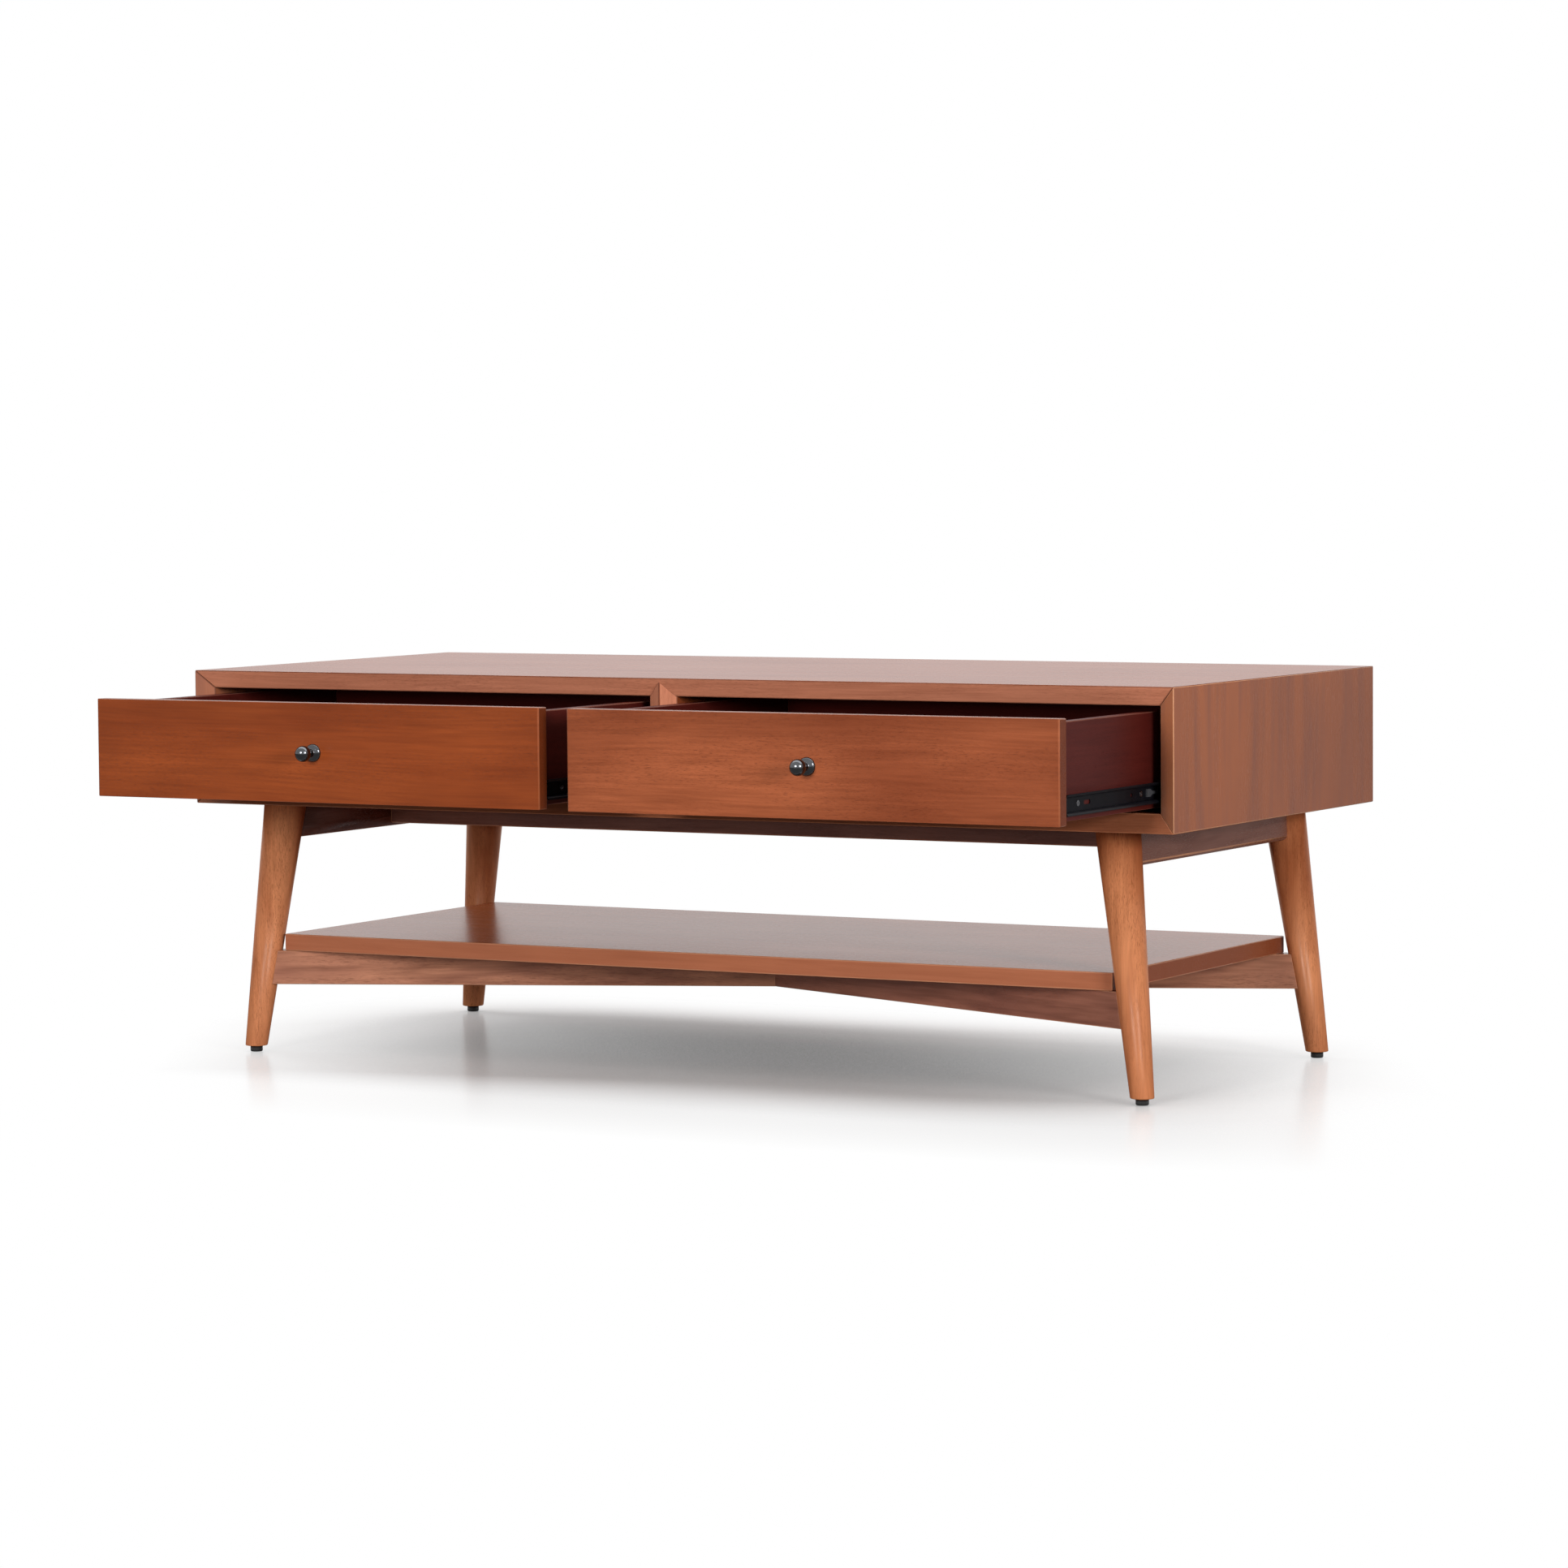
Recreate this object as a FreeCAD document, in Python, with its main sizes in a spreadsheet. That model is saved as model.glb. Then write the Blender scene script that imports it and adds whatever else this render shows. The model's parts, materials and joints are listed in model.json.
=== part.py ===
import FreeCAD, Part
import math
import os
from types import SimpleNamespace

import Sketcher
from FreeCAD import Placement, Rotation, Vector

# Driving sizes in millimetres; the front of the case is y = 0 and the floor is z = 0.
SIZES = {
    # Case
    "case_width": 1219.0,
    "case_depth": 530.0,
    "case_height": 151.0,
    "panel_thick": 20.0,
    "bevel_depth": 11.5,
    "divider_thick": 34.0,
    "back_thick": 9.0,
    "back_recess": 4.0,
    "back_lip": 6.0,
    "lip_play": 0.5,
    "spline_width": 14.0,
    "spline_thick": 4.0,
    "spline_end": 60.0,
    "spline_play": 0.2,
    # Legs and glides
    "leg_height": 285.0,
    "leg_inset_side": 87.0,
    "leg_inset_front": 51.0,
    "leg_splay_side": 34.1,
    "leg_splay_front": 15.6,
    "leg_top_radius": 24.0,
    "leg_foot_radius": 12.7,
    "glide_height": 7.0,
    "glide_radius": 7.0,
    "glide_edge": 1.0,
    "glide_pin_radius": 1.8,
    "glide_pin_length": 22.0,
    "joint_gap": 0.15,
    # Rails, stretchers and shelf
    "rail_thick": 22.0,
    "rail_height": 40.5,
    "rail_chamfer": 4.0,
    "centre_rail_height": 37.0,
    "stretcher_thick": 22.0,
    "stretcher_height": 38.5,
    "stretcher_low": 78.0,
    "lap_play": 0.1,
    "shelf_thick": 19.0,
    "shelf_end_gap": 21.0,
    "shelf_edge_inset": 0.6,
    # Dowels and frame screws
    "dowel_radius": 4.0,
    "dowel_play": 0.1,
    "rail_dowel": 36.0,
    "stretcher_dowel": 30.0,
    "divider_dowel": 24.0,
    "dowel_spacing": 18.0,
    "divider_dowel_inset": 120.0,
    "screw_play": 0.1,
    "frame_screw_radius": 2.2,
    "frame_head_radius": 4.5,
    "frame_head_height": 3.0,
    "base_screw_length": 45.0,
    "base_screw_bite": 14.0,
    "base_screw_inset": 70.0,
    "shelf_screw_length": 40.0,
    "shelf_screw_bite": 13.0,
    "head_play": 0.5,
    # Drawers
    "left_open": 225.5,
    "right_open": 231.5,
    "front_gap": 2.0,
    "front_thick": 16.0,
    "box_thick": 12.0,
    "box_rear_gap": 59.5,
    "box_rise": 3.0,
    "box_drop": 4.5,
    "bottom_thick": 5.0,
    "bottom_rise": 7.0,
    "bottom_lip": 6.0,
    "front_screw_radius": 1.9,
    "front_head_radius": 3.6,
    "front_head_height": 2.0,
    "front_screw_length": 24.0,
    "front_screw_inset": 72.0,
    "front_screw_edge": 18.0,
    # Knobs
    "knob_radius": 8.75,
    "knob_centre": 19.0,
    "knob_neck": 4.5,
    "knob_base_radius": 9.75,
    "knob_base_height": 4.0,
    "knob_base_round": 1.5,
    "knob_screw_radius": 2.0,
    "knob_screw_bite": 9.0,
    "knob_head_radius": 4.0,
    "knob_head_height": 2.5,
    # Slides
    "slide_gap": 12.0,
    "slide_setback": 3.0,
    "slide_tail": 27.0,
    "slide_overlap": 100.0,
    "slide_rise": 16.9,
    "slide_sheet": 1.2,
    "race_offset": 10.75,
    "race_play": 0.2,
    "ball_radius": 2.0,
    "cage_sheet": 0.8,
    "cage_gap": 0.3,
    "cage_lift": 0.6,
    "cage_reach": 1.2,
    "cage_margin": 2.0,
    "slide_screw_radius": 1.8,
    "slide_head_radius": 3.2,
    "slide_screw_length": 10.0,
    "slide_screw_front": 41.0,
    "slide_screw_middle": 189.0,
    "slide_screw_end": 40.0,
    "slide_slot_start": 54.0,
    "slide_slot_length": 15.0,
    "slide_slot_radius": 2.2,
    "slide_hole_place": 166.0,
    "lever_place": 200.0,
    "lever_length": 26.0,
    "lever_height": 8.0,
    "lever_tip_height": 3.2,
    "lever_root": 8.0,
    "lever_neck": 13.0,
    "lever_thick": 1.6,
}

BALLS_PER_ROW = 6

# Turns that lay a rod, which starts upright, along each direction.
TURNS = {
    "+x": Rotation(Vector(0, 1, 0), 90),
    "-x": Rotation(Vector(0, 1, 0), -90),
    "+y": Rotation(Vector(1, 0, 0), -90),
    "-y": Rotation(Vector(1, 0, 0), 90),
    "+z": Rotation(),
}


class Size:
    """A number together with the sheet expression that gives it."""

    def __init__(self, value, text):
        self.value = value
        self.text = text

    def __add__(self, other):
        other = as_size(other)
        return Size(self.value + other.value, f"({self.text} + {other.text})")

    def __radd__(self, other):
        return as_size(other) + self

    def __sub__(self, other):
        other = as_size(other)
        return Size(self.value - other.value, f"({self.text} - {other.text})")

    def __rsub__(self, other):
        return as_size(other) - self

    def __mul__(self, other):
        other = as_size(other)
        return Size(self.value * other.value, f"({self.text} * {other.text})")

    def __rmul__(self, other):
        return as_size(other) * self

    def __truediv__(self, other):
        other = as_size(other)
        return Size(self.value / other.value, f"({self.text} / {other.text})")

    def __neg__(self):
        return self * -1


def as_size(item):
    """Wrap a plain number as a size."""
    if isinstance(item, Size):
        return item
    return Size(float(item), f"({float(item)})")


def root_of(area):
    """Square root of a size."""
    return Size(math.sqrt(area.value), f"sqrt({area.text})")


def larger(first, second):
    """The larger of two sizes."""
    return Size(max(first.value, second.value), f"max({first.text}; {second.text})")


def heading(rise, run):
    """Angle in degrees of a direction in plan."""
    angle = math.degrees(math.atan2(rise.value, run.value))
    return Size(angle, f"atan2({rise.text}; {run.text})")


doc = FreeCAD.newDocument("CoffeeTable")
sheet = doc.addObject("Spreadsheet::Sheet", "Sizes")
for row, (alias, number) in enumerate(SIZES.items(), start=1):
    sheet.set(f"A{row}", alias)
    sheet.set(f"B{row}", str(number))
    sheet.setAlias(f"B{row}", alias)
doc.recompute()
size = SimpleNamespace(**{alias: Size(sheet.get(alias), f"Sizes.{alias}") for alias in SIZES})

nodes = []
corners = {}


def bind(item, **fields):
    """Bind properties of an object to sizes."""
    for field, amount in fields.items():
        item.setExpression(field, as_size(amount).text)


def place(item, at):
    """Bind the position of an object to three sizes."""
    for axis, amount in zip("xyz", at):
        item.setExpression(f"Placement.Base.{axis}", as_size(amount).text)


def finish(item, label, spot):
    """Put a finished piece at its spot in the table and list it for export."""
    start = corners.get(item.Name, (0, 0, 0))
    place(item, [as_size(own) + shift for own, shift in zip(start, spot)])
    item.Label = label
    nodes.append(item)


def box(name, low, high):
    """Block between two corners."""
    item = doc.addObject("Part::Box", name)
    spans = [as_size(top) - base for base, top in zip(low, high)]
    bind(item, Length=spans[0], Width=spans[1], Height=spans[2])
    place(item, low)
    corners[item.Name] = low
    return item


def rod(name, radius, length, start, along="+z"):
    """Round rod from a start point along a direction."""
    item = doc.addObject("Part::Cylinder", name)
    bind(item, Radius=radius, Height=length)
    item.Placement = Placement(Vector(), TURNS[along])
    place(item, start)
    return item


def cone(name, radius, end_radius, length, start, along):
    """Tapered rod from a start point along a direction."""
    item = doc.addObject("Part::Cone", name)
    bind(item, Radius1=radius, Radius2=end_radius, Height=length)
    item.Placement = Placement(Vector(), TURNS[along])
    place(item, start)
    return item


def join(name, items):
    """Fuse overlapping pieces into one solid."""
    item = doc.addObject("Part::MultiFuse", name)
    item.Shapes = items
    item.Refine = True
    return item


def group(name, items, at=(0, 0, 0)):
    """Hold separate solids together, moved to a place."""
    item = doc.addObject("Part::Compound", name)
    item.Links = items
    place(item, at)
    return item


def turned(name, items, angle, at, axis=Vector(0, 0, 1)):
    """Hold solids together, turned by an angle about an axis and moved to a place."""
    item = group(name, items, at)
    item.Placement = Placement(Vector(), Rotation(axis, angle.value))
    item.setExpression("Placement.Rotation.Angle", angle.text)
    return item


def cut(name, base, tools):
    """Take tools away from a base."""
    item = doc.addObject("Part::Cut", name)
    item.Base = base
    item.Tool = tools[0] if len(tools) == 1 else group(f"{name}_tools", tools)
    return item


def new_body(name):
    """Body with its origin planes by role."""
    body = doc.addObject("PartDesign::Body", name)
    planes = {feature.Role: feature for feature in body.Origin.OriginFeatures}
    return body, planes


def new_sketch(body, plane, name, lift=0):
    """Sketch on an origin plane of a body, lifted off it."""
    sketch = body.newObject("Sketcher::SketchObject", name)
    sketch.AttachmentSupport = [(plane, "")]
    sketch.MapMode = "FlatFace"
    sketch.setExpression("AttachmentOffset.Base.z", as_size(lift).text)
    return sketch


def pin(sketch, edge, end, spot):
    """Fix a sketch point at two sizes measured from the sketch origin."""
    for kind, axis, amount in (("DistanceX", -2, as_size(spot[0])), ("DistanceY", -1, as_size(spot[1]))):
        if amount.value == 0:
            sketch.addConstraint(Sketcher.Constraint("PointOnObject", edge, end, axis))
        else:
            index = sketch.addConstraint(Sketcher.Constraint(kind, -1, 1, edge, end, amount.value))
            sketch.setExpression(f"Constraints[{index}]", amount.text)


def flat_point(spot):
    """Starting place of a sketch point."""
    return Vector(as_size(spot[0]).value, as_size(spot[1]).value, 0)


def draw_outline(sketch, turns):
    """Closed outline; a corner with a third entry (centre, radius) starts an arc."""
    edges = []
    for index, corner in enumerate(turns):
        start = flat_point(corner)
        end = flat_point(turns[(index + 1) % len(turns)])
        if len(corner) == 2:
            edges.append((sketch.addGeometry(Part.LineSegment(start, end), False), 1, 2))
            continue
        centre, radius = corner[2]
        middle = flat_point(centre)
        circle = Part.Circle(middle, Vector(0, 0, 1), radius.value)
        forward = (start - middle).cross(end - middle).z > 0
        first, last = (start, end) if forward else (end, start)
        angles = [math.atan2(spot.y - middle.y, spot.x - middle.x) for spot in (first, last)]
        edge = sketch.addGeometry(Part.ArcOfCircle(circle, angles[0], angles[1]), False)
        edges.append((edge, 1, 2) if forward else (edge, 2, 1))
    for index, (edge, start_end, _) in enumerate(edges):
        before, _, before_end = edges[index - 1]
        sketch.addConstraint(Sketcher.Constraint("Coincident", before, before_end, edge, start_end))
        pin(sketch, edge, start_end, turns[index])
        if len(turns[index]) == 3:
            radius = turns[index][2][1]
            rule = sketch.addConstraint(Sketcher.Constraint("Radius", edge, radius.value))
            sketch.setExpression(f"Constraints[{rule}]", radius.text)


def draw_circle(sketch, spot, radius):
    """Circle about a point."""
    edge = sketch.addGeometry(Part.Circle(flat_point(spot), Vector(0, 0, 1), radius.value), False)
    rule = sketch.addConstraint(Sketcher.Constraint("Radius", edge, radius.value))
    sketch.setExpression(f"Constraints[{rule}]", radius.text)
    pin(sketch, edge, 3, spot)


def profile_body(name, plane, turns, length, reverse=False):
    """Body padded from one outline."""
    body, planes = new_body(name)
    sketch = new_sketch(body, planes[plane], f"{name}_outline")
    draw_outline(sketch, turns)
    pad = body.newObject("PartDesign::Pad", f"{name}_pad")
    pad.Profile = sketch
    bind(pad, Length=length)
    pad.Reversed = reverse
    return body


def turned_body(name, plane, turns):
    """Body revolved about the vertical axis of its outline."""
    body, planes = new_body(name)
    sketch = new_sketch(body, planes[plane], f"{name}_outline")
    draw_outline(sketch, turns)
    turning = body.newObject("PartDesign::Revolution", f"{name}_turning")
    turning.Profile = sketch
    turning.ReferenceAxis = (sketch, ["V_Axis"])
    turning.Angle = 360
    return body


def flat_screw(name, head, radius, head_height, length, start, along, reach):
    """Countersunk screw; the shank starts where the head ends."""
    neck = [as_size(own) + step for own, step in zip(start, reach(head_height))]
    top = cone(f"{name}_head", head, radius, head_height, start, along)
    shank = rod(f"{name}_shank", radius, length - head_height, neck, along)
    return join(name, [top, shank])


# Sizes that follow from the driving sizes.
half_width = size.case_width / 2
half_depth = size.case_depth / 2
half_divider = size.divider_thick / 2
case_high = size.leg_height + size.case_height
inner_low = size.leg_height + size.panel_thick
inner_high = case_high - size.panel_thick
wall = half_width - size.panel_thick
half_opening = (wall - half_divider) / 2
drawer_x = half_divider + half_opening
back_front = size.case_depth - size.back_recess - size.back_thick
front_low = inner_low + size.front_gap
front_high = inner_high - size.front_gap
front_half = half_opening - size.front_gap
box_low = front_low + size.box_rise
box_high = front_high - size.box_drop
box_half = half_opening - size.slide_gap
box_inner = box_half - size.box_thick
box_back = back_front - size.bevel_depth - size.box_rear_gap
knob_z = (front_low + front_high) / 2
knob_reach = size.knob_centre + size.knob_radius
slide_start = size.front_thick + size.slide_setback
slide_z = box_low + size.slide_rise
slide_length = box_back - slide_start - size.slide_tail
slide_travel = slide_length - size.slide_overlap
cage_length = size.slide_overlap - 2 * size.cage_margin
cage_start = slide_travel / 2 + size.cage_margin
leg_rise = size.leg_height - size.glide_height
leg_x = half_width - size.leg_inset_side
rail_low = size.leg_height - size.rail_height
rail_middle = size.leg_height - size.rail_height / 2
stretcher_high = size.stretcher_low + size.stretcher_height
stretcher_middle = size.stretcher_low + size.stretcher_height / 2
shelf_high = stretcher_high + size.shelf_thick

# The part's origin is under the middle of its box with the drawers as they stand open.
most_open = larger(size.left_open, size.right_open)
table_shift = (most_open + knob_reach - size.bevel_depth - size.case_depth) / 2
TABLE = (0, table_shift, 0)


def leg_spot(height):
    """Distances of a leg's axis from the table's middle at a height."""
    share = (size.leg_height - height) / leg_rise
    along_x = leg_x + size.leg_splay_side * share
    along_y = half_depth - size.leg_inset_front + size.leg_splay_front * share
    return along_x, along_y


def leg_radius(height):
    """Radius of a leg at a height."""
    growth = (size.leg_top_radius - size.leg_foot_radius) / leg_rise
    return size.leg_foot_radius + growth * (height - size.glide_height)


def leg_body(name, side, end, extra=0):
    """Tapered, splayed leg lofted between two level circles."""
    body, planes = new_body(name)
    sections = []
    for level, height in (("foot", size.glide_height), ("top", size.leg_height)):
        away_x, away_y = leg_spot(height)
        sketch = new_sketch(body, planes["XY_Plane"], f"{name}_{level}", height)
        draw_circle(sketch, (side * away_x, half_depth + end * away_y), leg_radius(height) + extra)
        sections.append(sketch)
    doc.recompute()
    loft = body.newObject("PartDesign::AdditiveLoft", f"{name}_loft")
    loft.Profile = sections[0]
    loft.Sections = sections[1:]
    loft.Ruled = True
    return body


def wedge_panel(name, near, far, thick, turn, start):
    """Panel whose edges slope from its near face to its far face; each face is two (low, high) spans."""
    item = doc.addObject("Part::Wedge", name)
    bind(item, Xmin=near[0][0], Xmax=near[0][1], Zmin=near[1][0], Zmax=near[1][1])
    bind(item, X2min=far[0][0], X2max=far[0][1], Z2min=far[1][0], Z2max=far[1][1])
    bind(item, Ymin=0, Ymax=thick)
    item.Placement = Placement(Vector(), turn)
    place(item, start)
    return item


def case_panels():
    """Blanks of the four mitred panels with their bevelled front edges."""
    laid = Rotation(Vector(1, 0, 0), 90)
    stood = Rotation(Vector(1, 1, 1), -120)
    depth = size.case_depth
    wide = ((-half_width, half_width), (-depth, as_size(0)))
    narrow = ((-wall, wall), (-depth, -size.bevel_depth))
    tall = ((size.leg_height, case_high), (as_size(0), depth))
    short = ((inner_low, inner_high), (size.bevel_depth, depth))
    thick = size.panel_thick
    return {
        "case_top": wedge_panel("TopBlank", narrow, wide, thick, laid, (0, 0, inner_high)),
        "case_bottom": wedge_panel("BottomBlank", wide, narrow, thick, laid, (0, 0, size.leg_height)),
        "case_left_side": wedge_panel("LeftBlank", tall, short, thick, stood, (-half_width, 0, 0)),
        "case_right_side": wedge_panel("RightBlank", short, tall, thick, stood, (wall, 0, 0)),
    }


def spline_set(name, play):
    """Four splines across the mitres, each a strip turned by 45 degrees."""
    reach = size.spline_width / 2 + play
    half = size.spline_thick / 2
    centre = size.panel_thick / 2 + half
    strips = []
    for side in (-1, 1):
        for level, end in (("low", -1), ("high", 1)):
            low = (-reach, size.spline_end - play, -half)
            high = (reach, size.case_depth - size.spline_end + play, half)
            strip = box(f"{name}_strip", low, high)
            middle_z = size.leg_height + centre if level == "low" else case_high - centre
            at = (side * (half_width - centre), 0, middle_z)
            strips.append(turned(f"{name}_{level}", [strip], as_size(45 * side * end), at, Vector(0, 1, 0)))
    return group(name, strips)


def divider_dowel_set(name, play):
    """Upright dowels between the divider and the top and bottom."""
    rods = []
    for level in (inner_low, inner_high):
        for y in (size.divider_dowel_inset, back_front - size.divider_dowel_inset):
            start = (0, y, level - size.divider_dowel / 2 - play)
            rods.append(rod(f"{name}_rod", size.dowel_radius + play, size.divider_dowel + 2 * play, start))
    return group(name, rods)


def rail_dowel_set(name, play):
    """Dowels between the rails and legs, and between the centre rail and side rails."""
    rods = []
    rail_x, rail_y = leg_spot(rail_middle)
    radius = size.dowel_radius + play
    length = size.rail_dowel + 2 * play
    centre_middle = size.leg_height - size.centre_rail_height / 2
    for side in (-1, 1):
        for step in (-1, 1):
            lift = step * size.dowel_spacing / 2
            for end in (-1, 1):
                joint = half_depth + end * (rail_y - leg_radius(rail_middle))
                start = (side * rail_x, joint - length / 2, rail_middle + lift)
                rods.append(rod(f"{name}_leg", radius, length, start, "+y"))
            joint = side * (rail_x - size.rail_thick / 2)
            start = (joint - length / 2, half_depth, centre_middle + lift)
            rods.append(rod(f"{name}_centre", radius, length, start, "+x"))
    return group(name, rods)


stretcher_x, stretcher_y = leg_spot(stretcher_middle)
stretcher_half = root_of(stretcher_x * stretcher_x + stretcher_y * stretcher_y)
stretcher_angle = heading(stretcher_y, stretcher_x)


def on_stretchers(name, make):
    """Pieces made in the frame of a stretcher, set on both crossed stretchers."""
    turns = []
    for hand, label in ((1, f"{name}_rising"), (-1, f"{name}_falling")):
        turns.append(turned(label, make(label), hand * stretcher_angle, (0, half_depth, 0)))
    return turns


def stretcher_dowel_set(name, play):
    """Dowels between the stretchers and the legs."""
    length = size.stretcher_dowel + 2 * play

    def pairs(label):
        rods = []
        for end in (-1, 1):
            joint = end * (stretcher_half - leg_radius(stretcher_middle))
            for step in (-1, 1):
                start = (joint - length / 2, 0, stretcher_middle + step * size.dowel_spacing / 2)
                rods.append(rod(f"{label}_rod", size.dowel_radius + play, length, start, "+x"))
        return rods

    return group(name, on_stretchers(name, pairs))


def frame_screw(name, spot, tip, length):
    """Pan head screw driven upwards."""
    seat = tip - length
    shank = rod(f"{name}_shank", size.frame_screw_radius, length, (*spot, seat))
    head_low = seat - size.frame_head_height
    head = rod(f"{name}_head", size.frame_head_radius, size.frame_head_height, (*spot, head_low))
    return join(name, [shank, head])


def frame_screw_hole(name, spot, tip, length, mouth):
    """Clearance hole and counterbore of an upward screw, from the mouth up."""
    bore_radius = size.frame_screw_radius + size.screw_play
    bore = rod(f"{name}_bore", bore_radius, tip + size.screw_play - mouth, (*spot, mouth))
    sink_radius = size.frame_head_radius + size.head_play
    sink = rod(f"{name}_sink", sink_radius, tip - length - mouth, (*spot, mouth))
    return join(name, [bore, sink])


def base_screw_spots():
    """Places of the screws through the rails, with the underside of each rail."""
    rail_x, rail_y = leg_spot(rail_middle)
    reach = rail_y - leg_radius(rail_middle) - size.base_screw_inset
    centre_low = size.leg_height - size.centre_rail_height
    spots = []
    for side in (-1, 1):
        for end in (-1, 1):
            spots.append(((side * rail_x, half_depth + end * reach), rail_low))
        spots.append(((side * rail_x / 2, half_depth), centre_low))
    return spots


def build_case(slide_holes):
    """Case panels, back, divider and their hidden joinery."""
    blanks = case_panels()
    splines = spline_set("mitre_splines", as_size(0))
    spline_slots = spline_set("SplineSlots", size.spline_play)
    divider_holes = divider_dowel_set("DividerHoles", size.dowel_play)
    lip = size.back_lip
    back_low = (lip - half_width, back_front, size.leg_height + lip)
    back_high = (half_width - lip, back_front + size.back_thick, case_high - lip)
    back = box("Back", back_low, back_high)
    groove_low = (back_low[0] - size.lip_play, back_front, back_low[2] - size.lip_play)
    groove_high = (back_high[0] + size.lip_play, back_high[1], back_high[2] + size.lip_play)
    groove = box("BackGroove", groove_low, groove_high)
    screw_tip = size.leg_height + size.base_screw_bite
    screws = []
    screw_holes = []
    for spot, mouth in base_screw_spots():
        screws.append(frame_screw("BaseScrew", spot, screw_tip, size.base_screw_length))
        screw_holes.append(frame_screw_hole("BaseHole", spot, screw_tip, size.base_screw_length, mouth))
    base_holes = group("BaseHoles", screw_holes)
    extra_tools = {
        "case_top": [divider_holes],
        "case_bottom": [divider_holes, base_holes],
        "case_left_side": slide_holes["case_left_side"],
        "case_right_side": slide_holes["case_right_side"],
    }
    for label, blank in blanks.items():
        finish(cut(f"Cut_{label}", blank, [spline_slots, groove, *extra_tools[label]]), label, TABLE)
    apex = size.bevel_depth * (1 - half_divider / size.panel_thick)
    plan = [
        (as_size(0), apex),
        (half_divider, size.bevel_depth),
        (half_divider, back_front),
        (-half_divider, back_front),
        (-half_divider, size.bevel_depth),
    ]
    post = profile_body("DividerPost", "XY_Plane", plan, size.case_height)
    place(post, (0, 0, size.leg_height))
    trims = [blanks["case_top"], blanks["case_bottom"]]
    divider = cut("DividerTrimmed", post, trims)
    divider = cut("Divider", divider, [divider_holes, *slide_holes["centre_divider"]])
    finish(divider, "centre_divider", TABLE)
    finish(back, "case_back", TABLE)
    finish(splines, "mitre_splines", TABLE)
    finish(divider_dowel_set("DividerDowels", as_size(0)), "divider_dowels", TABLE)
    finish(group("BaseScrews", screws), "base_screws", TABLE)
    return base_holes


def build_base(base_holes):
    """Legs, glides, rails, stretchers and shelf."""
    rail_holes = rail_dowel_set("RailHoles", size.dowel_play)
    stretcher_holes = stretcher_dowel_set("StretcherHoles", size.dowel_play)
    copes = []
    glides = []
    foot_x, foot_y = leg_spot(size.glide_height)
    for end, end_name in ((-1, "front"), (1, "back")):
        for side, side_name in ((-1, "left"), (1, "right")):
            label = f"{end_name}_{side_name}_leg"
            spot = (side * foot_x, half_depth + end * foot_y)
            pin_radius = size.glide_pin_radius + size.screw_play
            pin_depth = size.glide_pin_length + size.screw_play
            pin_hole = rod("PinHole", pin_radius, pin_depth, (*spot, size.glide_height))
            leg = leg_body(f"Blank_{label}", side, end)
            finish(cut(f"Cut_{label}", leg, [rail_holes, stretcher_holes, pin_hole]), label, TABLE)
            copes.append(leg_body(f"Cope_{label}", side, end, size.joint_gap))
            glide = turned_body(f"Glide_{label}", "XZ_Plane", glide_outline())
            place(glide, (*spot, 0))
            glides.append(glide)
    finish(group("Glides", glides), "glides", TABLE)
    build_rails([rail_holes, base_holes], copes)
    build_stretchers(stretcher_holes, copes)
    finish(rail_dowel_set("RailDowels", as_size(0)), "rail_dowels", TABLE)
    finish(stretcher_dowel_set("StretcherDowels", as_size(0)), "stretcher_dowels", TABLE)


def glide_outline():
    """Half section of a nail-on glide."""
    tip = size.glide_height + size.glide_pin_length
    return [
        (as_size(0), as_size(0)),
        (size.glide_radius - size.glide_edge, as_size(0)),
        (size.glide_radius, size.glide_edge),
        (size.glide_radius, size.glide_height),
        (size.glide_pin_radius, size.glide_height),
        (size.glide_pin_radius, tip),
        (as_size(0), tip),
    ]


def build_rails(holes, copes):
    """Side rails with a chamfered lower outer edge, and the centre rail between them."""
    rail_x, rail_y = leg_spot(rail_middle)
    half = size.rail_thick / 2
    for side, label in ((-1, "left_side_rail"), (1, "right_side_rail")):
        outline = [
            (side * -half, as_size(0)),
            (side * (half - size.rail_chamfer), as_size(0)),
            (side * half, size.rail_chamfer),
            (side * half, size.rail_height),
            (side * -half, size.rail_height),
        ]
        rail = profile_body(f"Blank_{label}", "XZ_Plane", outline, 2 * rail_y, reverse=True)
        place(rail, (side * rail_x, half_depth - rail_y, rail_low))
        finish(cut(f"Cut_{label}", rail, [*holes, *copes]), label, TABLE)
    reach = rail_x - half
    low = (-reach, half_depth - half, size.leg_height - size.centre_rail_height)
    high = (reach, half_depth + half, size.leg_height)
    finish(cut("CentreRail", box("CentreRailBlank", low, high), holes), "centre_rail", TABLE)


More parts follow.
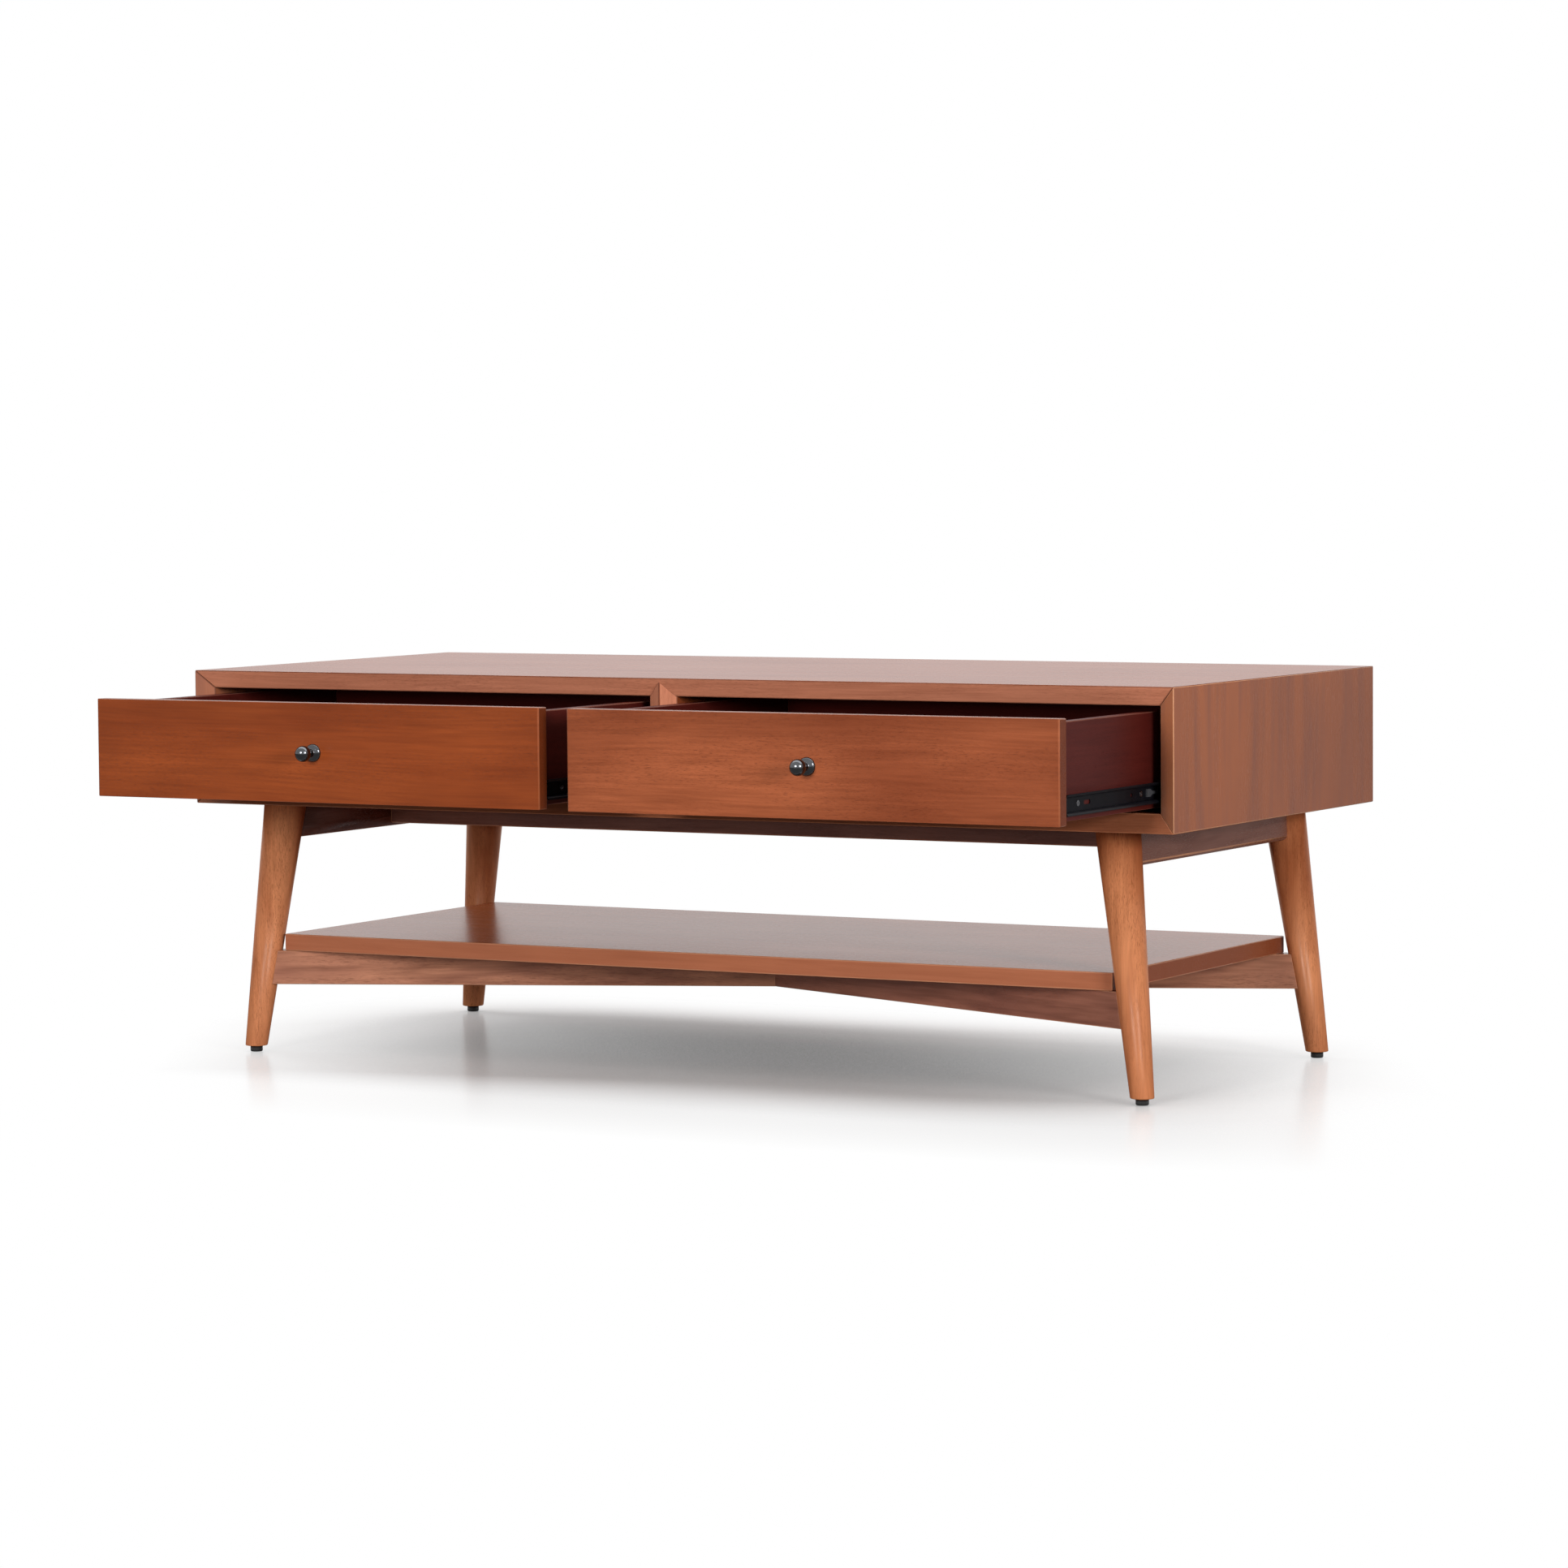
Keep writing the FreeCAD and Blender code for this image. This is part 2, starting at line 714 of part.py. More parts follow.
def build_stretchers(dowel_holes, copes):
    """Crossed stretchers half lapped in the middle, the shelf on them and its screws."""
    half = size.stretcher_thick / 2
    low = size.stretcher_low
    high = stretcher_high

    def bar(label, bottom, top, play):
        near = (-stretcher_half, -half - play, bottom)
        return [box(f"{label}_block", near, (stretcher_half, half + play, top))]

    tip = high + size.shelf_screw_bite
    spreads = [end * stretcher_half / 2 for end in (-1, 1)]
    length = size.shelf_screw_length

    def screw_row(label):
        return [frame_screw(label, (x, 0), tip, length) for x in spreads]

    def hole_row(label):
        return [frame_screw_hole(label, (x, 0), tip, length, low) for x in spreads]

    bars = on_stretchers("Bar", lambda label: bar(label, low, high, 0))
    upper = on_stretchers("LapUpper", lambda label: bar(label, stretcher_middle, high, size.lap_play))
    lower = on_stretchers("LapLower", lambda label: bar(label, low, stretcher_middle, size.lap_play))
    screw_holes = group("ShelfHoles", on_stretchers("ShelfHole", hole_row))
    laps = (upper[1], lower[0])
    for blank, lap, label in zip(bars, laps, ("rising_stretcher", "falling_stretcher")):
        tools = [lap, dowel_holes, screw_holes, *copes]
        finish(cut(f"Cut_{label}", blank, tools), label, TABLE)
    end_x, edge_y = leg_spot(shelf_high)
    reach_x = end_x - size.shelf_end_gap
    reach_y = edge_y + size.shelf_edge_inset
    board = box("Board", (-reach_x, half_depth - reach_y, high), (reach_x, half_depth + reach_y, shelf_high))
    finish(cut("Shelf", board, [screw_holes]), "shelf", TABLE)
    finish(group("ShelfScrews", on_stretchers("ShelfScrew", screw_row)), "shelf_screws", TABLE)


# Slides are drawn in their own frame: x from the case wall, y from the front end, z from the middle line.
ball_x = size.slide_gap / 2
race_in = size.ball_radius + size.race_play
race_out = race_in + size.slide_sheet
screw_places = (size.slide_screw_front, size.slide_screw_middle, slide_length - size.slide_screw_end)


def cabinet_outline(hand):
    """Section of the member on the case: two outward races holding the balls from outside."""
    rise = size.race_offset
    low_arc = (hand * ball_x, -rise)
    high_arc = (hand * ball_x, rise)
    sheet_x = hand * size.slide_sheet
    return [
        (as_size(0), -rise - race_out),
        (hand * ball_x, -rise - race_out, (low_arc, race_out)),
        (hand * (ball_x + race_out), -rise),
        (hand * (ball_x + race_in), -rise, (low_arc, race_in)),
        (hand * ball_x, -rise - race_in),
        (sheet_x, -rise - race_in),
        (sheet_x, rise + race_in),
        (hand * ball_x, rise + race_in, (high_arc, race_in)),
        (hand * (ball_x + race_in), rise),
        (hand * (ball_x + race_out), rise, (high_arc, race_out)),
        (hand * ball_x, rise + race_out),
        (as_size(0), rise + race_out),
    ]


def drawer_outline(hand):
    """Section of the member on the drawer: two inward races holding the balls from inside."""
    rise = size.race_offset
    low_arc = (hand * ball_x, -rise)
    high_arc = (hand * ball_x, rise)
    far_x = hand * size.slide_gap
    sheet_x = hand * (size.slide_gap - size.slide_sheet)
    return [
        (far_x, race_in - rise),
        (far_x, rise - race_in),
        (hand * ball_x, rise - race_in, (high_arc, race_in)),
        (hand * (ball_x - race_in), rise),
        (hand * (ball_x - race_out), rise, (high_arc, race_out)),
        (hand * ball_x, rise - race_out),
        (sheet_x, rise - race_out),
        (sheet_x, race_out - rise),
        (hand * ball_x, race_out - rise, (low_arc, race_out)),
        (hand * (ball_x - race_out), -rise),
        (hand * (ball_x - race_in), -rise, (low_arc, race_in)),
        (hand * ball_x, race_in - rise),
    ]


def cage_body(name, hand):
    """Sheet cage around the balls, with a row of notches along both flanges."""
    near = size.slide_sheet + size.cage_gap
    far = near + size.cage_sheet
    tip = ball_x + size.cage_reach
    under = size.race_offset + size.cage_lift
    over = under + size.cage_sheet
    outline = [
        (hand * near, -over),
        (hand * tip, -over),
        (hand * tip, -under),
        (hand * far, -under),
        (hand * far, under),
        (hand * tip, under),
        (hand * tip, over),
        (hand * near, over),
    ]
    body = profile_body(name, "XZ_Plane", outline, cage_length, reverse=True)
    planes = {feature.Role: feature for feature in body.Origin.OriginFeatures}
    pitch = cage_length / BALLS_PER_ROW
    sketch = new_sketch(body, planes["XY_Plane"], f"{name}_notch")
    draw_circle(sketch, (hand * ball_x, pitch / 2), race_in)
    doc.recompute()
    notch = body.newObject("PartDesign::Pocket", f"{name}_pocket")
    notch.Profile = sketch
    notch.Type = "ThroughAll"
    notch.Midplane = True
    doc.recompute()
    row = body.newObject("PartDesign::LinearPattern", f"{name}_row")
    row.Originals = [notch]
    row.Direction = (sketch, ["V_Axis"])
    row.Occurrences = BALLS_PER_ROW
    bind(row, Length=cage_length - pitch)
    body.Tip = row
    return body


def ball_rows(name, hand):
    """Balls of one slide, two rows along the cage."""
    pitch = cage_length / BALLS_PER_ROW
    balls = []
    for level in (-1, 1):
        for index in range(BALLS_PER_ROW):
            ball = doc.addObject("Part::Sphere", f"{name}_ball")
            bind(ball, Radius=size.ball_radius)
            place(ball, (hand * ball_x, (index + 0.5) * pitch, level * size.race_offset))
            balls.append(ball)
    return balls


def slide_screws(name, hand, on_drawer, play):
    """Countersunk screws of one slide member, driven away from the slide's middle."""
    face = size.slide_gap - size.slide_sheet if on_drawer else size.slide_sheet
    way = hand if on_drawer else -hand
    along = "+x" if way > 0 else "-x"

    def reach(depth):
        return (way * depth, 0, 0)

    screws = []
    for y in screw_places:
        screws.append(flat_screw(
            name,
            size.slide_head_radius + play,
            size.slide_screw_radius + play,
            size.slide_sheet,
            size.slide_screw_length + play,
            (hand * face, y, 0),
            along,
            reach,
        ))
    return screws


def member_openings(name, hand):
    """Slot and round hole through the drawer member."""
    base = hand * (size.slide_gap - size.slide_sheet)
    along = "+x" if hand > 0 else "-x"
    radius = size.slide_slot_radius
    slot_end = size.slide_slot_start + size.slide_slot_length
    ends = [size.slide_slot_start + radius, slot_end - radius]
    rounds = [rod(f"{name}_round", radius, size.slide_sheet, (base, y, 0), along) for y in ends]
    near = base if hand > 0 else base - size.slide_sheet
    middle = box(f"{name}_middle", (near, ends[0], -radius), (near + size.slide_sheet, ends[1], radius))
    hole = rod(f"{name}_hole", radius, size.slide_sheet, (base, size.slide_hole_place, 0), along)
    return [join(f"{name}_slot", [*rounds, middle]), hole]


def lever_body(name, hand):
    """Release lever lying in the channel of the drawer member."""
    tall = size.lever_height / 2
    slim = size.lever_tip_height / 2
    outline = [
        (as_size(0), -tall),
        (size.lever_root, -tall),
        (size.lever_neck, -slim),
        (size.lever_length, -slim),
        (size.lever_length, slim),
        (size.lever_neck, slim),
        (size.lever_root, tall),
        (as_size(0), tall),
    ]
    body = profile_body(name, "YZ_Plane", outline, size.lever_thick, reverse=hand > 0)
    place(body, (hand * (size.slide_gap - size.slide_sheet), size.lever_place, 0))
    return body


def slide_kit():
    """Slide pieces for a slide on the left (1) and on the right (-1) of a drawer."""
    kit = {}
    for hand, side in ((1, "Left"), (-1, "Right")):
        openings = member_openings(f"{side}Opening", hand)
        drawer_holes = slide_screws(f"{side}DrawerHole", hand, True, size.screw_play)
        kit[hand] = SimpleNamespace(
            cabinet=profile_body(f"{side}Cabinet", "XZ_Plane", cabinet_outline(hand), slide_length, True),
            drawer=profile_body(f"{side}Member", "XZ_Plane", drawer_outline(hand), slide_length, True),
            cage=cage_body(f"{side}Cage", hand),
            balls=ball_rows(side, hand),
            lever=lever_body(f"{side}Lever", hand),
            cabinet_screws=slide_screws(f"{side}CabinetScrew", hand, False, 0),
            cabinet_holes=slide_screws(f"{side}CabinetHole", hand, False, size.screw_play),
            drawer_screws=slide_screws(f"{side}DrawerScrew", hand, True, 0),
            drawer_holes=drawer_holes,
            openings=openings,
        )
    return kit


def build_cabinet_slides(kit):
    """Cabinet members on the case walls; gives the screw holes for each wall."""
    y = size.bevel_depth + slide_start
    walls = (
        ("left_drawer_left", 1, -wall, "case_left_side"),
        ("left_drawer_right", -1, -half_divider, "centre_divider"),
        ("right_drawer_left", 1, half_divider, "centre_divider"),
        ("right_drawer_right", -1, wall, "case_right_side"),
    )
    holes = {}
    screws = []
    for label, hand, x, panel in walls:
        pieces = kit[hand]
        spot = (x, y, slide_z)
        member = cut(f"Cut_{label}_cabinet", pieces.cabinet, pieces.cabinet_holes)
        finish(member, f"{label}_cabinet_member", (x, y + table_shift, slide_z))
        holes.setdefault(panel, []).append(group(f"{label}_holes", pieces.cabinet_holes, spot))
        screws.append(group(f"{label}_screws", pieces.cabinet_screws, spot))
    finish(group("CaseSlideScrews", screws), "case_slide_screws", TABLE)
    return holes


def knob_outline():
    """Half section of a ball knob on a round base, with a blind screw hole; y points at the drawer."""
    neck = size.knob_neck
    edge = size.knob_base_round
    base = size.knob_base_radius
    height = size.knob_base_height
    bore = size.knob_screw_radius + size.screw_play
    depth = size.knob_screw_bite + size.screw_play
    meet = size.knob_centre - root_of(size.knob_radius * size.knob_radius - neck * neck)
    zero = as_size(0)
    return [
        (bore, zero),
        (base, zero),
        (base, edge - height, ((base - edge, edge - height), edge)),
        (base - edge, -height),
        (neck, -height),
        (neck, -meet, ((zero, -size.knob_centre), size.knob_radius)),
        (size.knob_radius, -size.knob_centre, ((zero, -size.knob_centre), size.knob_radius)),
        (zero, -knob_reach),
        (zero, -depth),
        (bore, -depth),
    ]


def build_drawer(name, way, opened, kit):
    """One drawer in its own frame, y = 0 on its front face, and its two ball cages."""
    spot = (way * drawer_x, table_shift + size.bevel_depth - opened, 0)
    face = size.front_thick
    inside = face + size.box_thick
    bottom_low = box_low + size.bottom_rise
    bottom_high = bottom_low + size.bottom_thick
    tongue = box_inner + size.bottom_lip

    def back_reach(depth):
        return (0, -depth, 0)

    def front_screws(label, play):
        screws = []
        for screw_z in (bottom_high + size.front_screw_edge, box_high - size.front_screw_edge):
            for side in (-1, 1):
                screw_x = side * (box_inner - size.front_screw_inset)
                screws.append(flat_screw(
                    label,
                    size.front_head_radius + play,
                    size.front_screw_radius + play,
                    size.front_head_height,
                    size.front_screw_length + play,
                    (screw_x, inside, screw_z),
                    "-y",
                    back_reach,
                ))
        return screws

    knob_screw_length = inside + size.knob_screw_bite
    screw_shank = rod("KnobShank", size.knob_screw_radius, knob_screw_length, (0, inside, knob_z), "-y")
    screw_head = rod("KnobHead", size.knob_head_radius, size.knob_head_height, (0, inside, knob_z), "+y")
    bore = rod("KnobBore", size.knob_screw_radius + size.screw_play, inside, (0, inside, knob_z), "-y")
    screw_holes = front_screws(f"{name}FrontHole", size.screw_play)
    front_holes = [bore, *screw_holes]
    front = box("Front", (-front_half, 0, front_low), (front_half, face, front_high))
    finish(cut("FrontCut", front, front_holes), f"{name}_drawer_front", spot)
    groove_low = (-tongue - size.lip_play, inside - size.bottom_lip - size.lip_play, bottom_low)
    groove = box("BottomGroove", groove_low, (tongue + size.lip_play, box_back, bottom_high))
    box_front = box("BoxFront", (-box_inner, face, box_low), (box_inner, inside, box_high))
    finish(cut("BoxFrontCut", box_front, [groove, *front_holes]), f"{name}_drawer_box_front", spot)
    for hand, side in ((1, "left"), (-1, "right")):
        edges = sorted((-hand * box_half, -hand * box_inner), key=lambda edge: edge.value)
        board = box("Side", (edges[0], face, box_low), (edges[1], box_back, box_high))
        wall_spot = (-hand * half_opening, slide_start, slide_z)
        holes = group("SideHoles", kit[hand].drawer_holes, wall_spot)
        finish(cut("SideCut", board, [groove, holes]), f"{name}_drawer_{side}_side", spot)
        member = cut("MemberCut", kit[hand].drawer, [*kit[hand].drawer_holes, *kit[hand].openings])
        member_spot = [as_size(own) + shift for own, shift in zip(wall_spot, spot)]
        finish(member, f"{name}_drawer_{side}_member", member_spot)
    back_low = (-box_inner, box_back - size.box_thick, bottom_high)
    back = box("BoxBack", back_low, (box_inner, box_back, box_high))
    finish(back, f"{name}_drawer_back", spot)
    bottom = box("Bottom", (-tongue, inside - size.bottom_lip, bottom_low), (tongue, box_back, bottom_high))
    finish(bottom, f"{name}_drawer_bottom", spot)
    knob = turned_body(f"{name}Knob", "XY_Plane", knob_outline())
    finish(knob, f"{name}_knob", (spot[0], spot[1], knob_z))
    finish(join("KnobScrew", [screw_shank, screw_head]), f"{name}_knob_screw", spot)
    finish(group("FrontScrews", front_screws(f"{name}FrontScrew", 0)), f"{name}_front_screws", spot)
    pairs = {"drawer_screws": f"{name}_slide_screws", "lever": f"{name}_release_levers"}
    for field, label in pairs.items():
        finish(slide_pair(label, kit, field, slide_start), label, (spot[0], spot[1], slide_z))
    cage_y = table_shift + size.bevel_depth + slide_start + cage_start - opened / 2
    for field, label in (("cage", f"{name}_ball_cages"), ("balls", f"{name}_balls")):
        finish(slide_pair(label, kit, field, 0), label, (spot[0], cage_y, slide_z))


def slide_pair(label, kit, field, y):
    """One kind of slide piece, on both sides of a drawer."""
    halves = []
    for hand in (1, -1):
        pieces = getattr(kit[hand], field)
        items = pieces if isinstance(pieces, list) else [pieces]
        halves.append(group(f"{label}_half", items, (-hand * half_opening, y, 0)))
    return group(label, halves)


kit = slide_kit()
slide_holes = build_cabinet_slides(kit)
base_holes = build_case(slide_holes)
build_base(base_holes)
build_drawer("left", -1, size.left_open, kit)
build_drawer("right", 1, size.right_open, kit)
doc.recompute()

for item in doc.Objects:
    if "Invalid" in item.State or "Error" in item.State:
        raise RuntimeError(f"{item.Name} ({item.Label}) did not compute: {item.State}")

os.makedirs("parts", exist_ok=True)
for item in nodes:
    if item.Shape.isNull() or not item.Shape.isValid():
        raise RuntimeError(f"{item.Label} has no valid shape")
    item.Shape.exportStep(os.path.join("parts", f"{item.Label}.step"))
    print(item.Label, len(item.Shape.Solids), round(item.Shape.Volume, 1))
print(len(nodes), "pieces written")
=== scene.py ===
import json
import logging
import math
from dataclasses import dataclass, field, replace
from enum import Enum
from typing import Any, Dict, Iterable, List, Optional, Tuple

import bmesh
import bpy
from mathutils import Euler, Matrix, Vector

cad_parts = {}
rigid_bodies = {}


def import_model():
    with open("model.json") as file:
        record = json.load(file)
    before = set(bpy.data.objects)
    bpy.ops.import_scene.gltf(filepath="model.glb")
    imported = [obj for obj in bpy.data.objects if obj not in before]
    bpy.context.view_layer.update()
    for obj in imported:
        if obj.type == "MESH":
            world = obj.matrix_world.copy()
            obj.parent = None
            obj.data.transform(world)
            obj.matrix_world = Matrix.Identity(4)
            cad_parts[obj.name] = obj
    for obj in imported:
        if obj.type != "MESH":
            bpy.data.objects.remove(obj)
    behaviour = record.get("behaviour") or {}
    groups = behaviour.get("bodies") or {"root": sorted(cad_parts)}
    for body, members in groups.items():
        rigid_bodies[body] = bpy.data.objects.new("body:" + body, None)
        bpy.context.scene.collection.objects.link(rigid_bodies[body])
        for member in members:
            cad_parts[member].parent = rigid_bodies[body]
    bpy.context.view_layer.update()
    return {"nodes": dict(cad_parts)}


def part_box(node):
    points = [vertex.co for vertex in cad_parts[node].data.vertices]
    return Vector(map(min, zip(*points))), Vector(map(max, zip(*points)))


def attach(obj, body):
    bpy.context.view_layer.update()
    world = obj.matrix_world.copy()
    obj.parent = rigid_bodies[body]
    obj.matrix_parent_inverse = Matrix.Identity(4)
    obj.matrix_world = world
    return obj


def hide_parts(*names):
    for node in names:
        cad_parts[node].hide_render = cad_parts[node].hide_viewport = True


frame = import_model()

log = logging.getLogger("coffee_table")

Colour = Tuple[float, float, float]
Point = Tuple[float, float, float]

MERGE = 1e-6  # points nearer than this, in metres, are one
FLAT = math.radians(0.3)  # faces that turn by less than this are one flat face
SHARP = math.radians(20.0)  # edges that turn by more than this are eased


class Grain(Enum):
    """Direction in which the fibres of a wooden piece run, as the turn that lays them along X."""

    ALONG_X = (0.0, 0.0, 0.0)
    ALONG_Y = (0.0, 0.0, -90.0)
    ALONG_Z = (0.0, 90.0, 0.0)
    RISING = (0.0, 0.0, -22.4)
    FALLING = (0.0, 0.0, 22.4)

    def turn(self) -> Point:
        """Return the turn in radians."""
        return tuple(math.radians(angle) for angle in self.value)

    def along(self) -> Vector:
        """Return the direction of the fibres."""
        return Euler(self.turn()).to_matrix().transposed() @ Vector((1.0, 0.0, 0.0))


class Side(Enum):
    """The two drawers, named as seen from the front."""

    LEFT = "left"
    RIGHT = "right"


@dataclass(frozen=True)
class Layer:
    """One layer of noise: turns per metre along three directions, and the span of its values that counts."""

    stretch: Point
    detail: float = 2.0
    rough: float = 0.5
    low: float = 0.0
    high: float = 1.0


SWAY = Layer((1.3, 5.0, 5.0), 1.0)
SWAY_REACH = (0.0, 0.05, 0.05)
GROWTH = Layer((0.8, 9.0, 9.0))
GROWTH_LINES = 46.0
FIBRE = Layer((9.0, 360.0, 360.0), 3.0, 0.62, 0.3, 0.7)
PATCH = Layer((5.0, 30.0, 30.0), 1.0, 0.5, 0.36, 0.56)
PORES = Layer((170.0, 1900.0, 1900.0), 1.0, 0.4, 0.58, 0.68)
FLECKS = Layer((75.0, 760.0, 760.0), 1.0, 0.4, 0.58, 0.68)
SMUDGE = Layer((10.0, 120.0, 120.0), 2.0, 0.55, 0.42, 0.76)
STAIN = Layer((4.2, 9.5, 9.5), 3.0, 0.52, 0.28, 0.72)
EDGE_PATCHES = Layer((14.0, 14.0, 14.0), 3.0, 0.6, 0.3, 0.62)
LEAST_EDGE_PATCH = 0.45
CLOUD = Layer((9.0, 9.0, 16.0), 3.0, 0.55, 0.3, 0.7)
LEAST_CLOUD = 0.25
BORDER_REACH = {"X": 0.06, "Z": 0.034}
SMEAR = Layer((30.0, 55.0, 30.0), 4.0, 0.6, 0.3, 0.7)
PEEL = Layer((900.0, 900.0, 900.0))


class Graph:
    """Adds nodes to one shader tree and links them."""

    COLOUR_INPUTS = (0, 6, 7)
    COLOUR_OUTPUT = 2

    def __init__(self, tree: bpy.types.NodeTree) -> None:
        """Keep the tree that the nodes go into."""
        self.tree = tree

    def feed(self, socket: bpy.types.NodeSocket, value: Any) -> None:
        """Link an output to the socket, or set the socket to a plain value."""
        if isinstance(value, bpy.types.NodeSocket):
            self.tree.links.new(value, socket)
        else:
            socket.default_value = value

    def add(self, kind: str, inputs: Optional[Dict[Any, Any]] = None, **settings: Any) -> bpy.types.Node:
        """Add a node, set its options and feed its inputs.

        Args:
            kind: type of the node, as Blender names it after "ShaderNode".
            inputs: values or output sockets, by the name or number of the input.
            settings: attributes of the node.

        Returns:
            The new node.
        """
        node = self.tree.nodes.new(kind if kind.startswith("NodeGroup") else "ShaderNode" + kind)
        for name, value in settings.items():
            setattr(node, name, value)
        for name, value in (inputs or {}).items():
            self.feed(node.inputs[name], value)
        return node

    def place(self, group: bpy.types.NodeTree, inputs: Dict[str, Any]) -> Dict[str, bpy.types.NodeSocket]:
        """Place a shared node group, feed its inputs and return its outputs by name."""
        return {socket.name: socket for socket in self.add("Group", inputs, node_tree=group).outputs}

    def maths(self, operation: str, first: Any, second: Any = 0.0) -> bpy.types.NodeSocket:
        """Return the result of a Math node."""
        return self.add("Math", {0: first, 1: second}, operation=operation).outputs[0]

    def span(self, value: Any, low: float, high: float, start: float = 0.0,
             end: float = 1.0) -> bpy.types.NodeSocket:
        """Return the value carried from the span low..high to start..end, held at its ends."""
        inputs = {"Value": value, "From Min": low, "From Max": high, "To Min": start, "To Max": end}
        return self.add("MapRange", inputs, clamp=True).outputs[0]

    def vectors(self, operation: str, first: Any, second: Any = (0.0, 0.0, 0.0)) -> bpy.types.NodeSocket:
        """Return the result of a Vector Math node."""
        return self.add("VectorMath", {0: first, 1: second}, operation=operation).outputs[0]

    def mix(self, share: Any, first: Any, second: Any) -> bpy.types.NodeSocket:
        """Return two colours mixed by a share."""
        colours = [value if isinstance(value, bpy.types.NodeSocket) else (*value, 1.0) for value in (first, second)]
        node = self.add("Mix", data_type="RGBA")
        for number, value in zip(self.COLOUR_INPUTS, (share, *colours)):
            self.feed(node.inputs[number], value)
        return node.outputs[self.COLOUR_OUTPUT]

    def noise(self, vector: Any, layer: Layer) -> bpy.types.Node:
        """Return the noise node of a layer."""
        scaled = self.vectors("MULTIPLY", vector, layer.stretch)
        inputs = {"Vector": scaled, "Scale": 1.0, "Detail": layer.detail, "Roughness": layer.rough}
        return self.add("TexNoise", inputs)

    def draw(self, vector: Any, layer: Layer, start: float = 0.0) -> bpy.types.NodeSocket:
        """Return the values of a layer, with its span carried to start..1."""
        return self.span(self.noise(vector, layer).outputs[0], layer.low, layer.high, start)


